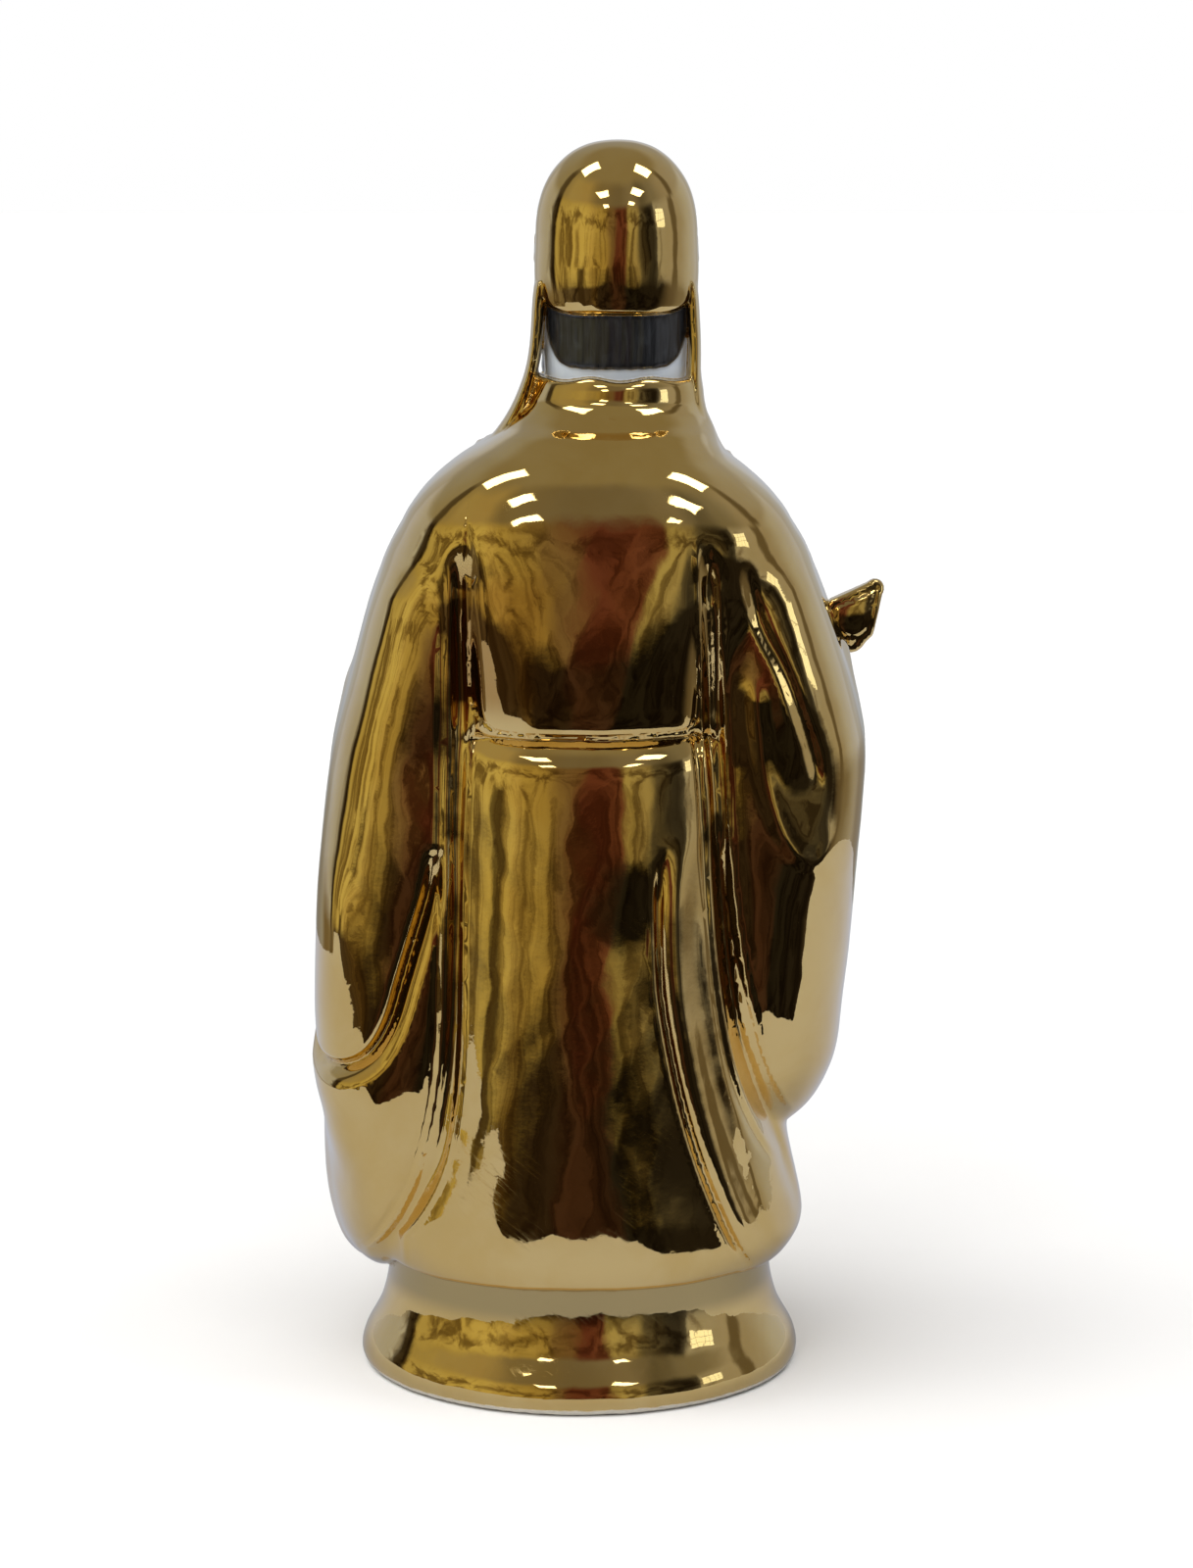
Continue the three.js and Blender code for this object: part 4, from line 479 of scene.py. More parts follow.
def ears(x,y,z,fine):
    A=absv(x-HEAD_X)
    e=ell(A-16.2,y+6.5,z-254,2.3,3.9,6.6)
    e=smin(e,ell(A-16.0,y+7.6,z-246.6,2.1,2.7,3.4),2)
    e=smax(e,-ell(A-18.3,y+8.0,z-254.6,1.5,2.3,4.2),0.9)
    return e
def beard(x,y,z,fine):
    cx,a,cy,b=BEARD(z)
    sway=1.2*sin((z-174)*0.11)*sstep(235,200,z)
    X=x-cx-sway
    d=sellipse(X,y-cy,0,0,a,b,b,2.1,0)
    d=smax(smax(d,z-244,3),172-z,2)
    u=X/mx(a,2)
    lock=cos(u*11+1.1*sin(z*0.13)+0.4*sin(z*0.37))
    d=d+(0.6+0.2*fine)*lock*sstep(-1,-4,y-cy)*sstep(242,232,z)*sstep(174,186,z)
    d=d+0.16*fine*sin(u*46+1.6*sin(z*0.21+u*3))*sstep(242,236,z)
    # along the jaw
    H=x-HEAD_X
    A=absv(H)
    d=smin(d,cap2(A,y,z,10.4,-15.2,240.5,14.2,-10.5,250.5,3.2,1.6),3)
    d=smin(d,ell(H,y+20.4,z-239.3,5.2,3.0,2.6),2)
    # moustache
    m=cap2(A,y,z,0.9,-24.4,246.9,4.4,-24.3,245.9,0.9,1.25)
    m=smin(m,cap2(A,y,z,4.4,-24.3,245.9,7.6,-23.8,241.4,1.25,1.1),0.8)
    m=smin(m,cap2(A,y,z,7.6,-23.8,241.4,8.6,-27.2,232,1.1,0.9),0.8)
    m=smin(m,cap2(A,y,z,8.6,-27.2,232,7.6,-32.2,221,0.9,0.45),0.8)
    return smin(d,m,0.5)
# ---------------------------------------------------------------- hands and sceptre
SHAFT=[[-61,-37.8,181],[-54,-42,179.3],[-46,-45.5,177.5],[-34,-49.2,173],[-22,-50.8,168.5],[-10,-51.2,163.5],[2,-51.4,157],[14,-51.2,149.5],[26,-49.6,140.5],[36,-46.6,131],[43,-43,121]]
def sceptre(x,y,z,fine):
    d=tube(x,y,z,SHAFT,2.5,2.3)
    e=ell(x-43.5,y+42.6,z-119.5,3.4,3.2,4.6)
    d=smin(d,e,1.5)
    # cloud-shaped head set on its flat, pointed away from the shaft
    X=x+63.7
    Z=z-180.1
    r=(y+36.5-0.15*X)/1.011
    p=-0.64*X+0.768*Z
    q=absv(0.768*X+0.64*Z)
    h=hyp2(p+3.2,q-3.4)-3.7
    h=smin(h,cap2(p,q,0*p,1.0,0,0,10.4,0,0,7.2,2.3),1.4)
    rim=h
    h=smax(h,absv(r)-3.5+0.017*(sq(p-2)+sq(q)),1.8)
    h=h+0.5*fine*bump((rim+1.8)/0.6)*sstep(1.2,2.4,absv(r))*sstep(1,-1,r)
    h=h+0.35*fine*bump((rim+2.0)/0.9)*sstep(0.8,1.8,r)
    h=smin(h,ell(p,q,r+3.2,4.2,3.2,1.6),0.8)
    return smin(d,h,1.2)
def hand(x,y,z,s):
    # a closed hand round the shaft; s is +1 for the left hand
    d=ell(x,y,z,6.4,5.2,6.6)
    d=smin(d,cap2(x,y,z,s*7,5,1.5,s*2,1,0.5,4.6,4.8),3)
    for i in range(4):
        t=i-1.5
        fx=-s*1.5+s*t*1.4*0.2
        fz=-t*3.0+0.3
        f=cap2(x,y,z,s*3.6,-3.8,fz+0.5,-s*3.2,-6.4,fz-0.3,1.65,1.55)
        f=smin(f,cap2(x,y,z,-s*3.2,-6.4,fz-0.3,-s*5.4,-3.0,fz-0.8,1.55,1.35),0.7)
        d=smin(d,f,0.55)
    d=smin(d,cap2(x,y,z,s*3.5,-3.0,5.6,-s*2.6,-5.6,6.4,1.9,1.55),0.8)
    return d
def hands(x,y,z,fine):
    l=hand(x-13.2,y+47.5,z-149.5,1)
    r=hand(x+21.5,y+47.2,z-167.5,-1)
    return mn(l,r)
def shoes(x,y,z,fine):
    s=ell(x-17,y+41.5,z-27.6,8.2,10.2,5.6)
    t=ell(x+9,y+41.5,z-27.6,8.2,10.2,5.6)
    return smax(mn(s,t),26.6-z,1)
def plinth(x,y,z,fine):
    a=PLINTH(z)
    d=sellipse(x,y-BASE_Y,BASE_X,0,a,a*BASE_DEPTH,a*BASE_DEPTH,2,0)
    d=smax(d,z-31,1)
    return d

# ---------------------------------------------------------------- the whole casting
REACH = {
    "collar": ([-34, -28, 226], [28, 31, 247]),
    "lappets": ([-34, -14, 220], [32, 9, 268]),
    "cap": ([-27, -29, 260], [18, 19, 301]),
    "hair": ([-24, -14, 245], [14, 16, 267]),
    "neck": ([-23, -20, 235], [13, 14, 263]),
    "face": ([-22, -29, 232], [13, 9, 278]),
    "ears": ([-25, -13, 241], [16, 0, 262]),
    "beard": ([-22, -46, 170], [14, -6, 254]),
    "girdle": ([-45, -42, 48], [48, -4, 172]),
    "sceptre": ([-74, -56, 112], [50, -24, 198]),
    "hands": ([-36, -58, 136], [28, -34, 180]),
    "shoes": ([-20, -54, 25], [28, -30, 35]),
    "plinth": ([-52, -48, -3], [61, 50, 33]),
    "robe": ([-68, -55, 20], [72, 50, 238]),
}
FORM = {"collar": collar, "lappets": lappets, "cap": cap, "hair": hair, "neck": neck, "face": face,
        "ears": ears, "beard": beard, "girdle": girdle, "sceptre": sceptre, "hands": hands,
        "shoes": shoes, "plinth": plinth, "robe": robe}
JOIN = [("girdle", 1.2), ("collar", 3.6), ("neck", 1.2), ("lappets", 2.4), ("face", 2.2), ("ears", 1.5),
        ("hair", 1.0), ("cap", 1.2), ("beard", 1.0), ("hands", 1.2), ("sceptre", 1.0), ("shoes", 1.2), ("plinth", 1.8)]
WHITE = ("neck", "face", "ears", "hands")
BLACK = ("hair", "beard")


def near(name, x, y, z):
    """The distance to one form, worked out only close to it."""
    lo, hi = REACH[name]
    qx = mx(mx(lo[0] - x, x - hi[0]), 0); qy = mx(mx(lo[1] - y, y - hi[1]), 0); qz = mx(mx(lo[2] - z, z - hi[2]), 0)
    out = (np.sqrt(qx * qx + qy * qy + qz * qz) + 3).astype(f32)
    sel = out < 9
    if sel.any():
        out[sel] = FORM[name](x[sel], y[sel], z[sel], 1.0)
    return out


def unevenness(x, y, z):
    """The slight waviness of a slip-cast, hand-finished wall, as millimetres of height."""
    w = 0.050 * sin(x * 0.31 + 1.3 * sin(z * 0.043 + 0.4) + 0.9) * sin(z * 0.137 + 1.7 * sin(x * 0.051 + y * 0.037))
    w = w + 0.030 * sin(x * 0.53 - y * 0.22 + 1.9 * sin(z * 0.071)) * sin(z * 0.29 + 2.1 + 1.4 * sin(x * 0.083))
    w = w + 0.012 * sin(x * 1.07 + 0.33 * y + 2.2 * sin(z * 0.12 + 1.1)) * sin(z * 0.61 + 1.8 * sin(x * 0.17 + 0.5))
    w = w + 0.0055 * sin(z * 1.55 + 2.0 * sin(x * 0.21 + 0.7) + 0.9 * sin(y * 0.3)) * (0.6 + 0.4 * sin(x * 0.37 + z * 0.05))
    return w


def field(x, y, z):
    d = near("robe", x, y, z)
    for name, k in JOIN:
        d = smin(d, near(name, x, y, z), k)
    quiet = bump((x + 4.8) / 22) * bump((z - 252) / 15) * sstep(-4, -12, y)
    d = d + unevenness(x, y, z) * (1 - quiet)
    return np.maximum(d, -z).astype(f32)


def zones(P):
    """Distances to the white, black and gold forms at each point."""
    X, Y, Z = [P[:, i].astype(f32) for i in range(3)]
    c = {k: near(k, X, Y, Z) for k in FORM}
    w = np.min([c[k] for k in WHITE], 0); b = np.min([c[k] for k in BLACK], 0)
    g = np.min([c[k] for k in c if k not in WHITE and k not in BLACK], 0)
    return w, b, g


def run(fn, *cols):
    """fn over long columns, in slices on four threads."""
    n = len(cols[0])
    out = np.empty(n, f32)
    step = max(1, min(120000, n // 4 + 1))

    def go(a):
        out[a:a + step] = fn(*[c[a:a + step] for c in cols])

    with ThreadPoolExecutor(4) as ex:
        list(ex.map(go, range(0, n, step)))
    return out


def slope(P, h):
    X, Y, Z = [P[:, i].astype(f32) for i in range(3)]
    h = f32(h)
    return np.stack([run(field, X + h, Y, Z) - run(field, X - h, Y, Z),
                     run(field, X, Y + h, Z) - run(field, X, Y - h, Z),
                     run(field, X, Y, Z + h) - run(field, X, Y, Z - h)], 1) / (2 * h)


def settle(P, times, h=0.15, most=0.8):
    """Moves points onto the surface."""
    P = P.copy()
    for _ in range(times):
        v = run(field, *[P[:, i].astype(f32) for i in range(3)])
        g = slope(P, h)
        n2 = (g * g).sum(1) + 1e-6
        st = np.clip(v / np.sqrt(n2), -most, most)
        P -= (st / np.sqrt(n2))[:, None] * g
    return P


# ---------------------------------------------------------------- meshing
def lattice_levels(step, head_step):
    """Levels of the lattice, finer towards the head, and the plan scale at each."""
    zs = [-1.5 * step]; s = [1.0]
    while zs[-1] < 303:
        t = min(max((zs[-1] - 205) / 35, 0), 1)
        sc = 1 + (head_step / step - 1) * t * t * (3 - 2 * t)
        zs.append(zs[-1] + step * sc); s.append(sc)
    return np.array(zs), np.array(s)


def patches():
    """For each of the 256 cell cases, how many separate sheets pass through the cell."""
    corner = [(a, b, c) for a in (0, 1) for b in (0, 1) for c in (0, 1)]
    count = []
    for case in range(256):
        inside = [(case >> i) & 1 for i in range(8)]
        group = list(range(8))

        def root(i):
            while group[i] != i:
                i = group[i]
            return i

        for i in range(8):
            for j in range(i):
                apart = sum(abs(corner[i][k] - corner[j][k]) for k in range(3))
                if apart == 1 and inside[i] == inside[j]:
                    group[root(i)] = root(j)
        count.append(len({root(i) for i in range(8)}))
    return np.array(count)


def make_mesh(step, head_step, half=(77, 58)):
    zs, s = lattice_levels(step, head_step)
    nx = int(2 * half[0] / step) + 3; ny = int(2 * half[1] / step) + 3; nz = len(zs)

    def lean(z):
        return np.interp(z, [200, 245], [0, -5]), np.interp(z, [200, 245], [0, -3])

    def pos(i, j, k):
        k = np.clip(k, 0, nz - 1)
        ax, ay = lean(zs[k])
        return (((i - (nx - 1) / 2) * step * s[k] + ax).astype(f32),
                ((j - (ny - 1) / 2) * step * s[k] + ay).astype(f32), zs[k].astype(f32))

    # a first look on every fourth point finds the blocks that the surface passes
    c = 4
    I, J, K = np.meshgrid(np.arange(0, nx + c, c), np.arange(0, ny + c, c), np.arange(0, nz + c, c), indexing="ij")
    D = run(field, *pos(I.ravel(), J.ravel(), K.ravel())).reshape(I.shape)
    C = np.stack([D[a:D.shape[0] - 1 + a, b:D.shape[1] - 1 + b, e:D.shape[2] - 1 + e]
                  for a in (0, 1) for b in (0, 1) for e in (0, 1)])
    reach = step * c * 1.15
    act = (C.min(0) < reach) & (C.max(0) > -reach)
    V = np.repeat(np.repeat(np.repeat(np.where(D[:-1, :-1, :-1] > 0, f32(9), f32(-9)), c, 0), c, 1), c, 2)[:nx, :ny, :nz].copy()
    rep = np.repeat(np.repeat(np.repeat(act, c, 0), c, 1), c, 2)
    am = np.zeros(tuple(n + 1 for n in rep.shape), bool)
    for a in (0, 1):
        for b in (0, 1):
            for e in (0, 1):
                am[a:a + rep.shape[0], b:b + rep.shape[1], e:e + rep.shape[2]] |= rep
    i, j, k = np.nonzero(am[:nx, :ny, :nz])
    V[i, j, k] = run(field, *pos(i, j, k))
    V[np.abs(V) < 1e-4] = 1e-4

    # no cell may hold two sheets, so that every edge of the mesh has two faces
    count = patches()
    weight = [1 << n for n in range(8)]
    corner = [(a, b, e) for a in (0, 1) for b in (0, 1) for e in (0, 1)]
    for _ in range(12):
        S = V < 0
        case = np.zeros((nx - 1, ny - 1, nz - 1), np.uint8)
        for n, (a, b, e) in enumerate(corner):
            case |= (S[a:nx - 1 + a, b:ny - 1 + b, e:nz - 1 + e] * weight[n]).astype(np.uint8)
        bi, bj, bk = np.nonzero(count[case] > 2)
        if not len(bi):
            break
        vals = np.stack([V[bi + a, bj + b, bk + e] for a, b, e in corner], 1)
        # the shallowest corner that has no like neighbour in the cell changes side
        lone = np.zeros(vals.shape, bool)
        for n, p in enumerate(corner):
            near_like = np.zeros(len(bi), bool)
            for m, q in enumerate(corner):
                if sum(abs(p[t] - q[t]) for t in range(3)) == 1:
                    near_like |= (vals[:, n] < 0) == (vals[:, m] < 0)
            lone[:, n] = ~near_like
        cost = np.where(lone | ~lone.any(1)[:, None], np.abs(vals), 1e3)
        pick = cost.argmin(1)
        off = np.array(corner)[pick]
        ti, tj, tk = bi + off[:, 0], bj + off[:, 1], bk + off[:, 2]
        V[ti, tj, tk] = np.where(V[ti, tj, tk] < 0, f32(1e-3), f32(-1e-3))

    S = V < 0
    tot = sum(S[a:nx - 1 + a, b:ny - 1 + b, e:nz - 1 + e].astype(np.int8) for a, b, e in corner)
    cell = (tot > 0) & (tot < 8)
    ci, cj, ck = np.nonzero(cell)
    idx = np.full(cell.shape, -1, np.int64)
    idx[ci, cj, ck] = np.arange(len(ci))
    acc = np.zeros((len(ci), 3)); cnt = np.zeros(len(ci))
    for p in corner:
        for ax in range(3):
            if p[ax]:
                continue
            q = list(p); q[ax] = 1
            a = V[ci + p[0], cj + p[1], ck + p[2]]; b = V[ci + q[0], cj + q[1], ck + q[2]]
            m = (a < 0) != (b < 0)
            t = np.where(m, a / np.where(m, a - b, 1), 0)
            for e in range(3):
                acc[:, e] += np.where(m, p[e] + t * (q[e] - p[e]), 0)
            cnt += m
    loc = acc / cnt[:, None]
    kk = ck + loc[:, 2]
    k0 = np.clip(np.floor(kk).astype(int), 0, nz - 2); fr = kk - k0
    zz = zs[k0] * (1 - fr) + zs[k0 + 1] * fr; sc = s[k0] * (1 - fr) + s[k0 + 1] * fr
    ax, ay = lean(zz)
    P = np.stack([((ci + loc[:, 0]) - (nx - 1) / 2) * step * sc + ax,
                  ((cj + loc[:, 1]) - (ny - 1) / 2) * step * sc + ay, zz], 1)
    quads = []
    for axis in range(3):
        lo = [slice(1, -1)] * 3; hi = [slice(1, -1)] * 3
        lo[axis] = slice(None, -1); hi[axis] = slice(1, None)
        s0 = S[tuple(lo)]
        m = s0 != S[tuple(hi)]
        at = list(np.nonzero(m))
        u, v = [n for n in range(3) if n != axis]
        at[u] = at[u] + 1; at[v] = at[v] + 1
        ring = []
        for du, dv in ((-1, -1), (0, -1), (0, 0), (-1, 0)):
            p = list(at); p[u] = at[u] + du; p[v] = at[v] + dv
            ring.append(idx[tuple(p)])
        q = np.stack(ring, 1)
        flip = ~s0[m] if axis != 1 else s0[m]
        q[flip] = q[flip][:, ::-1]
        quads.append(q)
    return P, np.concatenate(quads)


def largest(P, Q):
    """Keeps the biggest connected body."""
    tag = np.arange(len(P))
    for _ in range(400):
        low = tag[Q].min(1)
        new = tag.copy()
        for n in range(4):
            np.minimum.at(new, Q[:, n], low)
        new = new[new]
        if (new == tag).all():
            break
        tag = new
    big = np.bincount(tag).argmax()
    keep = tag == big
    ren = np.cumsum(keep) - 1
    return P[keep], ren[Q[keep[Q[:, 0]]]]

# ---------------------------------------------------------------- the casting as a mesh
def to_blender(name, P, F, corners):
    me = bpy.data.meshes.new(name)
    me.vertices.add(len(P)); me.loops.add(len(F) * corners); me.polygons.add(len(F))
    me.vertices.foreach_set("co", P.astype(np.float32).ravel())
    me.loops.foreach_set("vertex_index", F.astype(np.int32).ravel())
    me.polygons.foreach_set("loop_start", np.arange(0, len(F) * corners, corners, dtype=np.int32))
    me.polygons.foreach_set("loop_total", np.full(len(F), corners, np.int32))
    me.update(calc_edges=True)
    me.validate()
    return me


STEP, HEAD_STEP, MOST = ((0.92, 0.50, 197000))
P, Q = make_mesh(STEP, HEAD_STEP)
P, Q = largest(P, Q)
P = settle(P, 2)
me = to_blender("figure_body", P, Q, 4)
body = bpy.data.objects.new("figure_body", me)
bpy.context.scene.collection.objects.link(body)
tri = body.modifiers.new("tri", "TRIANGULATE")
tri.quad_method = "SHORTEST_DIAGONAL"
thin = body.modifiers.new("thin", "DECIMATE")
thin.ratio = min(1.0, MOST / (2 * len(Q)))
done = bpy.data.meshes.new_from_object(body.evaluated_get(bpy.context.evaluated_depsgraph_get()))
body.modifiers.clear()
body.data = done
bpy.data.meshes.remove(me)
me = done
me.name = "figure_body"
n = len(me.vertices)
P = np.empty(n * 3, np.float32); me.vertices.foreach_get("co", P); P = P.reshape(-1, 3).astype(float)
P = settle(P, 2, 0.12, 0.3)
P[:, 2] = np.maximum(P[:, 2], 0)
G = slope(P, 0.2)
flat = P[:, 2] < 0.02
G[flat] = (0, 0, -1)
N = G / (np.linalg.norm(G, axis=1)[:, None] + 1e-9)
me.vertices.foreach_set("co", (P.astype(np.float32) + np.array(SHIFT, np.float32)).ravel() * np.float32(0.001))
me.update()
own = np.empty(n * 3, np.float32); me.vertex_normals.foreach_get("vector", own); own = own.reshape(-1, 3)
agree = (own * N).sum(1)
mix = sstep(0.55, 0.9, agree)[:, None]
N = own * (1 - mix) + N * mix
N /= np.linalg.norm(N, axis=1)[:, None] + 1e-9

# where each finish lies, as signed millimetres from its border, and how hollow the surface is
w, b, g = zones(P)
bend = np.zeros(n)
for axis in range(3):
    for sgn_ in (-1, 1):
        A = P.copy(); A[:, axis] += sgn_ * 1.2
        bend += run(field, *[A[:, i].astype(f32) for i in range(3)])
layers = {"white_edge": w - np.minimum(b, g), "black_edge": b - np.minimum(w, g), "hollow": -bend / (6 * 1.2)}
for name, value in layers.items():
    at = me.attributes.new(name, "FLOAT", "POINT")
    at.data.foreach_set("value", value.astype(np.float32))
at = me.attributes.new("place", "FLOAT_VECTOR", "POINT")
at.data.foreach_set("vector", P.astype(np.float32).ravel())
me.polygons.foreach_set("use_smooth", np.ones(len(me.polygons), bool))
me.normals_split_custom_set_from_vertices(N.astype(np.float32).tolist())
me.update()
print("figure_body", n, len(me.polygons))

# ---------------------------------------------------------------- finishes
def node(tree, kind, **set_):
    k = tree.nodes.new(kind)
    for name, value in set_.items():
        if hasattr(k, name):
            setattr(k, name, value)
        else:
            k.inputs[name].default_value = value
    return k


class Graph:
    """Short names for the nodes that a material needs."""

    def __init__(self, tree):
        self.t = tree

    def put(self, socket, value):
        if isinstance(value, bpy.types.NodeSocket):
            self.t.links.new(value, socket)
        elif value is not None:
            socket.default_value = value

    def math(self, op, a, b=None, c=None, clamp=False):
        k = self.t.nodes.new("ShaderNodeMath"); k.operation = op; k.use_clamp = clamp
        for s, v in zip(k.inputs, (a, b, c)):
            self.put(s, v)
        return k.outputs[0]

    def vec(self, op, a, b=None, scale=None):
        k = self.t.nodes.new("ShaderNodeVectorMath"); k.operation = op
        self.put(k.inputs[0], a)
        if b is not None:
            self.put(k.inputs[1], b)
        if scale is not None:
            self.put(k.inputs["Scale"], scale)
        return k.outputs["Value"] if op in ("LENGTH", "DOT_PRODUCT", "DISTANCE") else k.outputs[0]

    def ramp(self, x, a, b, ya=0.0, yb=1.0, smooth=True):
        k = self.t.nodes.new("ShaderNodeMapRange")
        k.interpolation_type = "SMOOTHSTEP" if smooth else "LINEAR"
        k.clamp = True
        for s, v in zip(k.inputs[:5], (x, a, b, ya, yb)):
            self.put(s, v)
        return k.outputs[0]

    def mix(self, f, a, b):
        k = self.t.nodes.new("ShaderNodeMix"); k.data_type = "RGBA"
        self.put(k.inputs[0], f); self.put(k.inputs[6], a); self.put(k.inputs[7], b)
        return k.outputs[2]

    def mixf(self, f, a, b):
        k = self.t.nodes.new("ShaderNodeMix"); k.data_type = "FLOAT"
        self.put(k.inputs[0], f); self.put(k.inputs[2], a); self.put(k.inputs[3], b)
        return k.outputs[0]

    def attr(self, name, vector=False):
        k = self.t.nodes.new("ShaderNodeAttribute"); k.attribute_name = name
        return k.outputs["Vector"] if vector else k.outputs["Fac"]

    def noise(self, at, scale, detail=3.0, rough=0.5, distort=0.0, dims="3D"):
        k = self.t.nodes.new("ShaderNodeTexNoise"); k.noise_dimensions = dims
        self.put(k.inputs["Vector"], at)
        k.inputs["Scale"].default_value = scale; k.inputs["Detail"].default_value = detail
        k.inputs["Roughness"].default_value = rough; k.inputs["Distortion"].default_value = distort
        return k.outputs[0]

    def stretch(self, at, x, y, z):
        return self.vec("MULTIPLY", at, (x, y, z))

    def parts(self, at):
        k = self.t.nodes.new("ShaderNodeSeparateXYZ"); self.put(k.inputs[0], at)
        return k.outputs[0], k.outputs[1], k.outputs[2]


def rgb(r, g, b): return (r, g, b, 1.0)


mat = bpy.data.materials.new("gold_lustre_porcelain")
mat.use_nodes = True
tree = mat.node_tree
tree.nodes.clear()
G_ = Graph(tree)
out = tree.nodes.new("ShaderNodeOutputMaterial")
skin = tree.nodes.new("ShaderNodeBsdfPrincipled")
tree.links.new(skin.outputs[0], out.inputs[0])
at = G_.attr("place", vector=True)  # millimetres
px, py, pz = G_.parts(at)
white_edge = G_.attr("white_edge"); black_edge = G_.attr("black_edge"); hollow = G_.attr("hollow")

# soft, slightly wandering borders of the painted areas
wander = G_.math("MULTIPLY", G_.math("SUBTRACT", G_.noise(at, 0.9, 2.0), 0.5), 0.35)
is_white = G_.ramp(G_.math("ADD", white_edge, wander), 0.10, -0.10)
is_black = G_.ramp(G_.math("ADD", black_edge, wander), 0.10, -0.10)
painted = G_.math("MAXIMUM", is_white, is_black)

# the bare rim of the foot
rim_line = G_.math("ADD", pz, G_.math("MULTIPLY", G_.math("SUBTRACT", G_.noise(at, 0.35, 3.0), 0.5), 0.9))
is_rim = G_.ramp(rim_line, 1.5, 1.15)

# gold: warm, a little uneven in thickness, with painted shade that makes it browner in creases
cloud = G_.noise(at, 0.045, 4.0, 0.55, 0.4)
fine_cloud = G_.noise(at, 0.35, 3.0, 0.6)
gold_a = rgb(0.80, 0.555, 0.182)
gold_b = rgb(0.86, 0.625, 0.240)
gold = G_.mix(G_.ramp(cloud, 0.36, 0.64), gold_a, gold_b)
gold = G_.mix(G_.math("MULTIPLY", G_.ramp(fine_cloud, 0.45, 0.75), 0.18), gold, rgb(0.86, 0.60, 0.24))
# painted shade: the gold just under the hem of the robe, on the plinth's top, is darker and browner
hem_shade = G_.math("MULTIPLY", G_.ramp(pz, 18.5, 23.5), G_.ramp(pz, 31.0, 29.0))
gold = G_.mix(hem_shade, gold, rgb(0.52, 0.39, 0.160))
# painted dark reflection: the gold is made redder and darker on the back over the belt, on the figure's left
belt_dark_reflection = G_.math("MULTIPLY", G_.math("MULTIPLY", G_.ramp(pz, 165.0, 173.0), G_.ramp(pz, 206.0, 196.0)), G_.ramp(py, 6.0, 16.0))
belt_dark_reflection = G_.math("MULTIPLY", belt_dark_reflection, G_.math("MULTIPLY", G_.ramp(px, 4.0, 15.0), G_.ramp(px, 40.0, 33.0)))
gold = G_.mix(G_.math("MULTIPLY", belt_dark_reflection, 0.75), gold, rgb(0.50, 0.27, 0.065))
# painted shade: browner, darker gold in creases; the same mask also makes the creases a little rougher
gold_crease_shade = G_.ramp(hollow, 0.06, 0.30)
gold = G_.mix(G_.math("MULTIPLY", gold_crease_shade, 0.22), gold, rgb(0.50, 0.29, 0.07))
# painted highlight: paler gold on ridges
ridge_highlight = G_.ramp(hollow, -0.10, -0.30)
gold = G_.mix(G_.math("MULTIPLY", ridge_highlight, 0.35), gold, rgb(0.93, 0.76, 0.42))

# wiping streaks and a thin haze, in patches, mostly on the lower half
lean = G_.vec("ADD", G_.stretch(at, 0.9, 0.9, 0.16), None)
streak = G_.noise(G_.stretch(at, 0.75, 0.75, 0.13), 1.6, 4.0, 0.65, 0.3)
tilted = tree.nodes.new("ShaderNodeVectorRotate"); tilted.rotation_type = "AXIS_ANGLE"
tree.links.new(at, tilted.inputs["Vector"]); tilted.inputs["Axis"].default_value = (0, 1, 0); tilted.inputs["Angle"].default_value = math.radians(38)
wipe = G_.noise(G_.stretch(tilted.outputs[0], 0.10, 0.5, 1.2), 1.3, 3.0, 0.6)
patch = G_.ramp(G_.noise(at, 0.028, 2.0, 0.5, 0.2), 0.48, 0.66)
haze = G_.math("MULTIPLY", G_.math("MULTIPLY", G_.ramp(wipe, 0.42, 0.72), patch), G_.ramp(pz, 175.0, 60.0))
gold_rough = G_.math("ADD", 0.022, G_.math("ADD", G_.math("MULTIPLY", G_.ramp(streak, 0.5, 0.85), 0.03), G_.math("MULTIPLY", haze, 0.10)))
gold_rough = G_.math("ADD", gold_rough, G_.math("MULTIPLY", gold_crease_shade, 0.03))

# glazed white of the neck, hands and face
glaze_cloud = G_.noise(at, 0.12, 3.0, 0.5)
# painted shade: the white glaze on the neck and back gets a darker, bluer colour, as of porcelain in shadow; the face
# and hands in front get the lighter white below
white = G_.mix(G_.ramp(glaze_cloud, 0.35, 0.68), rgb(0.51, 0.59, 0.72), rgb(0.60, 0.67, 0.77))
hx = G_.math("ABSOLUTE", G_.math("ADD", px, 4.8))
front = G_.ramp(py, -9.0, -13.0)
white = G_.mix(G_.ramp(py, -6.0, -12.0), white, G_.mix(G_.ramp(glaze_cloud, 0.35, 0.68), rgb(0.77, 0.775, 0.77), rgb(0.84, 0.845, 0.84)))
cheek = G_.vec("LENGTH", G_.vec("MULTIPLY", G_.vec("SUBTRACT", at, (-4.8, -18.0, 249.8)), (0.0, 0.0, 1.0)))
cx_ = G_.math("DIVIDE", G_.math("SUBTRACT", hx, 8.4), 4.2)
cz_ = G_.math("DIVIDE", G_.math("SUBTRACT", pz, 249.6), 3.8)
blush = G_.ramp(G_.math("ADD", G_.math("MULTIPLY", cx_, cx_), G_.math("MULTIPLY", cz_, cz_)), 1.3, 0.0)
white = G_.mix(G_.math("MULTIPLY", G_.math("MULTIPLY", blush, front), 0.28), white, rgb(0.72, 0.40, 0.34))
# painted shade: the white is darker and greyer in creases
white_crease_shade = G_.ramp(hollow, 0.05, 0.30)
white = G_.mix(G_.math("MULTIPLY", white_crease_shade, 0.35), white, rgb(0.40, 0.36, 0.33))

